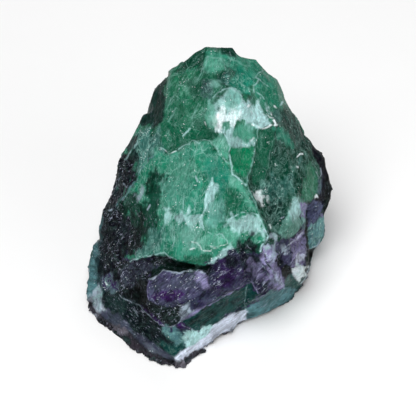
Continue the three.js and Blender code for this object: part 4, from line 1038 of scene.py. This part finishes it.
def lay(skin, where, cover, colour, kind):
    """Lays one finish over part of the skin."""
    tint(skin, where, cover, colour)
    run = np.array([name == KINDS[kind]["run"] for name in RUNS], float)
    skin["run"][where] += cover[:, None] * (run - skin["run"][where])
    for name in SURFACE_VALUES:
        skin[name][where] += cover * (KINDS[kind][name] - skin[name][where])


def band_skin(points):
    """The growth bands right round the stone, with clouds and dark breaks."""
    skin = plain_skin(len(points))
    height = points[:, 2] + BAND_WARP * layered(points, BAND_WARP_SIZE, SEEDS["band_warp"])
    bottom = BAND_FLOOR
    for _name, colour, kind, top in BANDS:
        lay(skin, EVERYWHERE, eased(bottom - BAND_SOFT, bottom + BAND_SOFT, height), colour, kind)
        bottom = top
    cloud = layered(stretched(points, CLOUD_LEAN, CLOUD_STRETCH), CLOUD_SIZE, SEEDS["clouds"])
    above = eased(*CLOUD_HEIGHTS, height)
    pale = CLOUD_COVER * above * eased(CLOUD_START, CLOUD_START + CLOUD_FADE, cloud)
    lay(skin, EVERYWHERE, pale, "light_green", "silk")
    breaks = layered(points, CLOUD_SIZE, SEEDS["dark_breaks"])
    dark = CLOUD_COVER * eased(BREAK_START, BREAK_START + CLOUD_FADE, breaks)
    lay(skin, EVERYWHERE, dark, "night_green", "broken")
    return skin


def lay_patches(skin, points, x, y):
    """The patches of the show side, laid in order, with ragged and feathered edges."""
    flat = np.stack([x, y, np.zeros(len(x))], axis=1)
    ragged = RAGGED_BROAD * layered(flat, RAGGED_BROAD_SIZE, SEEDS["ragged_broad"])
    ragged = ragged + RAGGED_FINE * layered(flat, RAGGED_FINE_SIZE, SEEDS["ragged_fine"], layers=2)
    hanging = stretched(points, UP_IN_PICTURE, FEATHER_STRETCH)
    feather = layered(hanging, FEATHER_SIZE, SEEDS["feather"], layers=3)
    for _name, colour, kind, softness, rag, cover, outline in PATCHES:
        corners = np.array(outline, float)
        soft = softness * KINDS[kind]["spread"]
        near = boxed(corners, MARGIN_PER_SOFT * soft + MARGIN_PER_RAGGED * rag, x, y)
        depth = inside_by(corners, x[near], y[near]) + rag * ragged[near]
        depth = depth + FEATHER_SHARE * soft * feather[near]
        edge = EDGE_LEAST + EDGE_PER_SOFT * soft
        lay(skin, near, cover * eased(-edge, edge, depth), colour, kind)


def lay_lines(skin, x, y, shown):
    """The pale ridges, seams and cracks; returns how far they stand up, in mm."""
    flat = np.stack([x, y, np.zeros(len(x))], axis=1)
    wander_x = LINE_WANDER * layered(flat, LINE_WANDER_SIZE, SEEDS["line_wander_x"], layers=2)
    wander_y = LINE_WANDER * layered(flat, LINE_WANDER_SIZE, SEEDS["line_wander_y"], layers=2)
    breaks = cloudy(flat, LINE_BREAK_SIZE, SEEDS["line_breaks"])
    height = np.zeros(len(x))
    for _name, colour, half, cover, rise, points in LINES:
        near, nearest = near_line(points, x, y, wander_x, wander_y)
        width = LINE_WIDTH * half * (1.0 + LINE_BREAK_SHARE * breaks[near])
        strength = cover * eased(*LINE_BREAK_FADE, breaks[near])
        strength = strength * (1.0 - eased(width - LINE_INSIDE, width + LINE_OUTSIDE, nearest))
        strength = strength * eased(*LINE_SHOWN_FADE, shown[near])
        tint(skin, near, strength, colour)
        height[near] += shown[near] * rise * (1.0 - eased(width, width + LINE_RISE_REACH, nearest))
    return height


def joined_skin(points, x, y, shown):
    """The patches where the stone is shown and the growth bands where it is hidden."""
    skin = band_skin(points)
    front = {name: values.copy() for name, values in skin.items()}
    lay_patches(front, points, x, y)
    for name in skin:
        share = shown[:, None] if skin[name].ndim == 2 else shown
        skin[name] = skin[name] + share * (front[name] - skin[name])
    return skin


def break_facets(skin, points, hidden):
    """Breaks the skin into facets with veins and seams; returns how far they step in or out, in mm."""
    step, tone, border = facets(points, FACET_SIZE, SEEDS["facets"])
    skin["colour"] *= np.exp((FACET_TONE_SHOWN + (FACET_TONE - FACET_TONE_SHOWN) * hidden) * tone)[:, None]
    crack = layered(points, CRACK_SIZE, SEEDS["cracks"], layers=3)
    vein = (1.0 - eased(*VEIN_BORDER, border)) * eased(*CRACK_FADE, crack) * hidden
    tint(skin, EVERYWHERE, VEIN_COVER * vein, "pale_green")
    seam = (1.0 - eased(*SEAM_BORDER, border)) * eased(*CRACK_FADE, -crack) * hidden
    skin["colour"] *= 1.0 - SEAM_COVER * seam[:, None]
    return (FACET_STEP_SHOWN + (FACET_STEP - FACET_STEP_SHOWN) * hidden) * step


def part_of(share, start, full, value):
    """A share that sets in as a value rises from start to full."""
    return share * eased(start, full, value)


def hang_veils(skin, points):
    """Streaks along the run of the threads and broad veils, milky in places and deep in others."""
    places = run_places(points)
    skin["threads"] = sum(skin["run"][:, i, None] * places[run] for i, run in enumerate(RUNS))
    streaks = layered(skin["threads"], STREAK_SIZE, SEEDS["streaks"], layers=3)
    hanging = stretched(points, UP_IN_PICTURE, VEIL_STRETCH)
    veils = layered(hanging, VEIL_SIZE, SEEDS["veils"], layers=5)
    milky = skin["veil"] * (part_of(*MILKY_VEILS, veils) + part_of(*MILKY_STREAKS, streaks))
    tint(skin, EVERYWHERE, np.clip(milky, 0, 1), "pale_green")
    deep = skin["mottle"] * (part_of(*DEEP_VEILS, -veils) + part_of(*DEEP_STREAKS, -streaks))
    skin["colour"] *= 1.0 - DEEP_COVER * np.clip(deep, 0, 1)[:, None]


def finished_skin(points, facing):
    """The skin at every point of the stone, and how far its lines and facets stand out there, in mm."""
    x, y = sighted(points)
    shown = eased(*SHOWN_FADE, facing)
    skin = joined_skin(points, x, y, shown)
    facet_steps = break_facets(skin, points, 1.0 - shown)
    hang_veils(skin, points)
    height = lay_lines(skin, x, y, shown) + facet_steps
    skin["colour"] = np.clip(skin["colour"], SKIN_DARKEST, SKIN_PALEST)
    return skin, height


def relief_of(points, skin):
    """How far the broken skin stands in or out at each point, in mm."""
    lumps = layered(points, RELIEF_SIZE * LUMPS_BROADER, SEEDS["relief_lumps"], layers=3)
    breaks = 1.0 - 2.0 * np.abs(cloudy(points, RELIEF_SIZE, SEEDS["relief_breaks"]))
    fine = cloudy(points, FINE_SIZE, SEEDS["relief_fine"])
    return skin["relief"] * (LUMP_SHARE * lumps + BREAK_SHARE * breaks + FINE_SHARE * fine)


def stone_shape(settings):
    """The stone's fine mesh in mm and its skin."""
    points, triangles = solid_mesh()
    facing = normals_of(points, triangles) @ TO_EYE
    for _ in range(DIVISION_ROUNDS):
        limits = edge_limits(points, facing, settings)
        points, facing, triangles = divided(points, facing, triangles, limits)
    foot = points[:, 2] < FOOT_HEIGHT
    soft = smoothed(points, triangles, SMOOTH_ROUNDS, SMOOTH_SHARE)
    soft[foot] = points[foot]
    normals = normals_of(soft, triangles)
    skin, height = finished_skin(soft, normals @ TO_EYE)
    lift = np.where(foot, 0.0, settings.relief * relief_of(soft, skin) + height)
    shape = soft + normals * lift[:, None]
    shape[:, 2] = np.maximum(shape[:, 2], 0.0)
    return shape, triangles, skin


def stone_mesh(settings):
    """The mesh data of the stone, with its skin as attributes."""
    points, triangles, skin = stone_shape(settings)
    mesh = bpy.data.meshes.new("fluorite_stone")
    mesh.from_pydata((points * MM).tolist(), [], triangles.tolist())
    mesh.shade_smooth()
    colour = mesh.color_attributes.new("stone_colour", "FLOAT_COLOR", "POINT")
    rgba = np.ones((len(points), 4))
    rgba[:, :3] = skin["colour"]
    colour.data.foreach_set("color", rgba.ravel())
    for name in SURFACE_VALUES:
        layer = mesh.attributes.new(name, "FLOAT", "POINT")
        layer.data.foreach_set("value", skin[name])
    threads = mesh.attributes.new("threads", "FLOAT_VECTOR", "POINT")
    threads.data.foreach_set("vector", skin["threads"].ravel())
    return mesh


# The finishes


class Nodes:
    """Short ways to add and join the nodes of one material."""

    def __init__(self, name):
        self.material = bpy.data.materials.new(name)
        self.material.use_nodes = True
        self.tree = self.material.node_tree
        self.shader = next(n for n in self.tree.nodes if n.type == "BSDF_PRINCIPLED")

    def put(self, node, inputs):
        """Sets inputs of a node to numbers and colours or joins them to outputs."""
        for key, value in inputs.items():
            if isinstance(value, bpy.types.NodeSocket):
                self.tree.links.new(value, node.inputs[key])
            else:
                node.inputs[key].default_value = value

    def add(self, kind, inputs, **options):
        """A node's outputs, with its options set and its inputs filled."""
        node = self.tree.nodes.new(kind)
        for key, value in options.items():
            setattr(node, key, value)
        self.put(node, inputs)
        return node.outputs

    def finished(self, inputs):
        """The material, with its shader's inputs filled."""
        self.put(self.shader, inputs)
        return self.material

    def place(self):
        """The place on the object, in metres."""
        return self.add("ShaderNodeTexCoord", {})["Object"]

    def attribute(self, name, output="Fac"):
        """A value, a colour or a vector that the mesh carries."""
        return self.add("ShaderNodeAttribute", {}, attribute_name=name)[output]

    def number(self, operation, *values, clamp=False):
        """Arithmetic on numbers."""
        return self.add("ShaderNodeMath", dict(enumerate(values)), operation=operation, use_clamp=clamp)[0]

    def vector(self, operation, vector, by):
        """Arithmetic on a vector: by another vector, or by a number for SCALE."""
        key = "Scale" if operation == "SCALE" else 1
        return self.add("ShaderNodeVectorMath", {0: vector, key: by}, operation=operation)[0]

    def share(self, first, *others):
        """The product of some shares, held between 0 and 1 at the end."""
        for number, other in enumerate(others, start=1):
            first = self.number("MULTIPLY", first, other, clamp=number == len(others))
        return first

    def mixed(self, share, first, second, blend="MIX"):
        """Two colours mixed by a share."""
        inputs = {0: share, MIX_FIRST: first, MIX_SECOND: second}
        return self.add("ShaderNodeMix", inputs, data_type="RGBA", blend_type=blend)[MIX_RESULT]

    def noise(self, place, scale, detail=3.0, rough=0.55, distortion=0.0):
        """Cloudy noise from 0 to 1."""
        inputs = {"Vector": place, "Scale": scale, "Detail": detail, "Roughness": rough,
                  "Distortion": distortion}
        return self.add("ShaderNodeTexNoise", inputs)["Fac"]

    def cells(self, place, scale, feature="F1"):
        """Cells like broken facets, with how far a place is from their middle or edge and their colour."""
        return self.add("ShaderNodeTexVoronoi", {"Vector": place, "Scale": scale}, feature=feature)

    def ranged(self, value, low, high, to_low=0.0, to_high=1.0):
        """A value between low and high brought between two others."""
        inputs = {0: value, 1: low, 2: high, 3: to_low, 4: to_high}
        return self.add("ShaderNodeMapRange", inputs, clamp=True)[0]

    def red_of(self, colour):
        """The red of a colour, which is a number of its own for each cell."""
        return self.add("ShaderNodeSeparateColor", {0: colour})[0]


def bent(nodes, place):
    """The place shifted a little by noise, so that straight borders wander."""
    inputs = {"Vector": place, "Scale": BEND_SCALE, "Detail": BEND_DETAIL}
    noise = nodes.add("ShaderNodeTexNoise", inputs)["Color"]
    centred = nodes.vector("SUBTRACT", noise, (NOISE_MIDDLE,) * 3)
    return nodes.vector("ADD", place, nodes.vector("SCALE", centred, BEND_REACH))


def grained(nodes, colour, place, threads, mottle):
    """Colour that wanders in grains and threads, and from facet to facet."""
    tones = (
        (nodes.noise(place, **GRAIN_NOISE), GRAIN_TONE),
        (nodes.noise(threads, **THREAD_NOISE), THREAD_TONE),
        (nodes.red_of(nodes.cells(place, CHIP_SCALE)["Color"]), CHIP_TONE),
        (nodes.red_of(nodes.cells(bent(nodes, place), PANE_SCALE)["Color"]), PANE_TONE),
    )
    total = 0.0
    for value, tone in tones:
        wander = nodes.number("MULTIPLY", nodes.number("SUBTRACT", value, NOISE_MIDDLE), tone)
        total = nodes.number("ADD", total, wander)
    factor = nodes.number("ADD", nodes.number("MULTIPLY", total, mottle), 1.0)
    factor = nodes.number("MAXIMUM", factor, TONE_LEAST)
    grey = nodes.add("ShaderNodeCombineColor", {0: factor, 1: factor, 2: factor})[0]
    return nodes.mixed(1.0, colour, grey, "MULTIPLY")


def scratch_and_light_edges(nodes, colour, place, threads, scratch):
    """Fine blue-grey scratches on the dark broken skin, in two sizes, in tufts; partly painted highlights on
    the lit edges of its fine breaks.
    """
    for scale, shift, low, high in SCRATCHES_AND_LIT_EDGES:
        wave = nodes.noise(nodes.vector("ADD", threads, (shift,) * 3), scale, **SCRATCH_AND_EDGE_NOISE)
        tuft = nodes.ranged(nodes.noise(place, **TUFT_NOISE), *TUFT_FADE)
        share = nodes.share(nodes.ranged(wave, low, high), tuft, scratch)
        colour = nodes.mixed(share, colour, SCRATCH_AND_EDGE_GREY)
    return colour


def veiled(nodes, colour, place, threads, veil):
    """Thin milky threads that follow the run of the stone, thick in some places and absent in others."""
    for scale, level, cover in MILKY_THREADS:
        wave = nodes.number("SUBTRACT", nodes.noise(threads, scale, **MILKY_NOISE), NOISE_MIDDLE)
        steep = nodes.number("MULTIPLY", nodes.number("ABSOLUTE", wave), RIDGE_STEEPNESS)
        ridge = nodes.number("SUBTRACT", 1.0, steep)
        line = nodes.ranged(ridge, level - RIDGE_BELOW, level + RIDGE_ABOVE)
        where = nodes.ranged(nodes.noise(place, MILKY_PLACE_SCALE * scale), *MILKY_PLACE_FADE)
        colour = nodes.mixed(nodes.share(line, where, cover, veil), colour, VEIL_WHITE)
    return colour


def cracked(nodes, colour, place, veil):
    """Thin healed cracks on the borders of the panes, here and there."""
    cells = nodes.cells(bent(nodes, place), PANE_SCALE, "DISTANCE_TO_EDGE")
    line = nodes.ranged(cells["Distance"], 0.0, CRACK_WIDTH, 1.0, 0.0)
    where = nodes.ranged(nodes.noise(place, CRACK_PLACE_SCALE), *CRACK_PLACE_FADE)
    return nodes.mixed(nodes.share(line, where, CRACK_COVER, veil), colour, VEIL_WHITE)


def paint_glints(nodes, colour, place, fleck):
    """Painted highlights: small crisp white glints painted into the colour, gathered in clusters."""
    for scale, radius in GLINTS:
        cells = nodes.cells(place, scale)
        spot = nodes.ranged(cells["Distance"], radius * GLINT_CORE, radius, 1.0, 0.0)
        chance = nodes.number("MULTIPLY", fleck, GLINT_CHANCE)
        chosen = nodes.number("LESS_THAN", nodes.red_of(cells["Color"]), chance)
        cluster = nodes.ranged(nodes.noise(place, CLUSTER_SCALE), *CLUSTER_FADE)
        colour = nodes.mixed(nodes.share(spot, chosen, cluster, GLINT_COVER), colour, GLINT_WHITE)
    return colour


def bumped(nodes, place, threads):
    """The shading normal of the fine breaks, stronger where the relief is."""
    broad = nodes.number("MULTIPLY", nodes.noise(place, BUMP_BROAD_SCALE), BUMP_BROAD_SHARE)
    along = nodes.number("MULTIPLY", nodes.noise(threads, BUMP_THREAD_SCALE), BUMP_THREAD_SHARE)
    height = nodes.number("ADD", nodes.noise(place, **FINE_BUMP_NOISE), broad)
    height = nodes.number("ADD", height, along)
    strength = nodes.share(nodes.attribute("relief"), BUMP_PER_RELIEF)
    return nodes.add("ShaderNodeBump", {"Height": height, "Distance": BUMP_DEPTH, "Strength": strength})[0]


def stone_material(settings):
    """Broken fluorite: painted bands, grain, milky threads, glints painted as highlights, gloss and a little
    translucence.
    """
    nodes = Nodes("fluorite")
    place, threads = nodes.place(), nodes.attribute("threads", "Vector")
    veil = nodes.attribute("veil")
    colour = nodes.attribute("stone_colour", "Color")
    colour = grained(nodes, colour, place, threads, nodes.attribute("mottle"))
    # Scratches, partly painted highlights on the lit edges of the fine breaks.
    colour = scratch_and_light_edges(nodes, colour, place, threads, nodes.attribute("scratch"))
    colour = veiled(nodes, colour, place, threads, veil)
    colour = cracked(nodes, colour, place, veil)
    # Painted highlights: white glints painted into the base colour.
    colour = paint_glints(nodes, colour, place, nodes.attribute("fleck"))
    sheen = nodes.ranged(nodes.noise(place, SHEEN_SCALE), *SHEEN_FADE)
    return nodes.finished({
        "Base Color": colour,
        "Roughness": nodes.number("ADD", nodes.attribute("rough"), sheen),
        "Normal": bumped(nodes, place, threads),
        "IOR": FLUORITE_IOR,
        "Specular IOR Level": FLUORITE_GLOSS,
        "Subsurface Weight": settings.translucence,
        "Subsurface Radius": FLUORITE_DEPTH,
        "Subsurface Scale": DEPTH_SCALE,
    })


def floor_material(settings):
    """Plain pale paper."""
    nodes = Nodes("floor_paper")
    palest = (*settings.floor_colour, 1.0)
    darkest = (*(PAPER_DARKEST * c for c in settings.floor_colour), 1.0)
    return nodes.finished({
        "Base Color": nodes.mixed(nodes.noise(nodes.place(), **PAPER_NOISE), palest, darkest),
        "Roughness": FLOOR_ROUGHNESS,
        "Specular IOR Level": FLOOR_GLOSS,
    })


# The studio


def placed(context, name, data):
    """A new object in the scene."""
    thing = bpy.data.objects.new(name, data)
    context.scene.collection.objects.link(thing)
    return thing


def pointed(thing, place, target):
    """Puts a light or camera at a place and turns it to a target."""
    thing.location = place
    thing.rotation_euler = (Vector(target) - Vector(place)).to_track_quat("-Z", "Y").to_euler()


def floor_mesh(settings):
    """A square floor."""
    half = FLOOR_SIZE / 2
    corners = [(-half, -half, 0), (half, -half, 0), (half, half, 0), (-half, half, 0)]
    mesh = bpy.data.meshes.new("floor")
    mesh.from_pydata(corners, [], [(0, 1, 2, 3)])
    mesh.materials.append(floor_material(settings))
    return mesh


def hang_light(context, name, place, size, power):
    """A soft square light that points at the stone."""
    data = bpy.data.lights.new(name, "AREA")
    data.energy = power
    data.size = size
    pointed(placed(context, name, data), place, LIGHTS_AIM)


def light_room(context, settings):
    """White surroundings, shown in plain display colours."""
    world = bpy.data.worlds.new("white_room")
    world.use_nodes = True
    background = world.node_tree.nodes["Background"]
    background.inputs["Color"].default_value = SKY_WHITE
    background.inputs["Strength"].default_value = settings.sky_strength
    context.scene.world = world
    context.scene.view_settings.view_transform = "Standard"


def set_camera(context):
    """The scene's camera on the sight line, as wide at the aim as the picture is."""
    data = bpy.data.cameras.new("camera")
    data.sensor_width = SENSOR_WIDTH
    data.lens = SENSOR_WIDTH * SIGHT_DISTANCE / PICTURE_WIDTH
    data.clip_start, data.clip_end = CAMERA_NEAR, CAMERA_FAR
    camera = placed(context, "camera", data)
    aim = Vector(SIGHT_AIM * MM)
    pointed(camera, aim + Vector(TO_EYE * SIGHT_DISTANCE * MM), aim)
    context.scene.camera = camera


# The settings, the operators and the panel


class FluoriteStone(bpy.types.PropertyGroup):
    """What a user would change on the stone."""

    show_edge: bpy.props.FloatProperty(
        name="Show side edge", description="Longest mesh edge on the show side", default=0.00064,
        min=0.0004, unit="LENGTH", precision=5,
    )
    line_edge: bpy.props.FloatProperty(
        name="Line edge", description="Longest mesh edge beside the pale ridges and cracks", default=0.00037,
        min=0.0002, unit="LENGTH", precision=5,
    )
    hidden_edge: bpy.props.FloatProperty(
        name="Hidden side edge", description="Longest mesh edge on the hidden side", default=0.00150,
        min=0.0005, unit="LENGTH", precision=5,
    )
    relief: bpy.props.FloatProperty(
        name="Relief", description="Strength of the fine breaks", default=1.0, min=0.0, max=2.0,
        subtype="FACTOR",
    )
    translucence: bpy.props.FloatProperty(
        name="Translucence", description="Share of light that passes through the stone's skin",
        default=0.06, min=0.0, max=1.0, subtype="FACTOR",
    )


class FluoriteStudio(bpy.types.PropertyGroup):
    """What a user would change in the studio."""

    floor_colour: bpy.props.FloatVectorProperty(
        name="Floor colour", description="Colour of the plain floor", default=(0.94, 0.94, 0.94),
        subtype="COLOR",
    )
    key_power: bpy.props.FloatProperty(
        name="Key light", description="Power of the large soft light over the stone", default=16.5,
        min=0.0, unit="POWER",
    )
    fill_power: bpy.props.FloatProperty(
        name="Fill light", description="Power of the soft lights at the right and at the back", default=0.4,
        min=0.0, unit="POWER",
    )
    sky_strength: bpy.props.FloatProperty(
        name="Sky", description="Strength of the white surroundings", default=0.12, min=0.0,
    )


class FLUORITE_OT_stone(bpy.types.Operator):
    """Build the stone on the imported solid"""

    bl_idname = "fluorite.stone"
    bl_label = "Build stone"

    def execute(self, context):
        """Make the fine mesh, colour it and put it on the frame."""
        settings = context.scene.fluorite_stone
        mesh = stone_mesh(settings)
        mesh.materials.append(stone_material(settings))
        stone = placed(context, "fluorite_stone", mesh)
        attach(stone, "root")
        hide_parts(STONE_NODE)
        return {"FINISHED"}


class FLUORITE_OT_studio(bpy.types.Operator):
    """Build the floor, the lights and the camera"""

    bl_idname = "fluorite.studio"
    bl_label = "Build studio"

    def execute(self, context):
        """Lay the floor, hang the lights and set the camera on the sight line."""
        settings = context.scene.fluorite_studio
        floor = placed(context, "floor", floor_mesh(settings))
        for name, place, size, power in LIGHTS:
            hang_light(context, name, place, size, getattr(settings, power))
        light_room(context, settings)
        set_camera(context)
        return {"FINISHED"}


class FLUORITE_PT_panel(bpy.types.Panel):
    """The stone and its studio"""

    bl_label = "Fluorite specimen"
    bl_idname = "FLUORITE_PT_panel"
    bl_space_type = "VIEW_3D"
    bl_region_type = "UI"
    bl_category = "Fluorite"

    def draw(self, context):
        """List the settings and the buttons."""
        layout = self.layout
        for group, button in ((context.scene.fluorite_stone, "fluorite.stone"),
                              (context.scene.fluorite_studio, "fluorite.studio")):
            for name in group.bl_rna.properties.keys():
                if name not in ("rna_type", "name"):
                    layout.prop(group, name)
            layout.operator(button)


CLASSES = (FluoriteStone, FluoriteStudio, FLUORITE_OT_stone, FLUORITE_OT_studio, FLUORITE_PT_panel)


def register():
    """Add the classes and the scene's settings."""
    for cls in CLASSES:
        bpy.utils.register_class(cls)
    bpy.types.Scene.fluorite_stone = bpy.props.PointerProperty(type=FluoriteStone)
    bpy.types.Scene.fluorite_studio = bpy.props.PointerProperty(type=FluoriteStudio)


def unregister():
    """Remove the classes and the scene's settings."""
    del bpy.types.Scene.fluorite_stone
    del bpy.types.Scene.fluorite_studio
    for cls in reversed(CLASSES):
        bpy.utils.unregister_class(cls)


def main():
    """Build everything."""
    register()
    bpy.ops.fluorite.stone()
    bpy.ops.fluorite.studio()


if __name__ == "__main__":
    main()
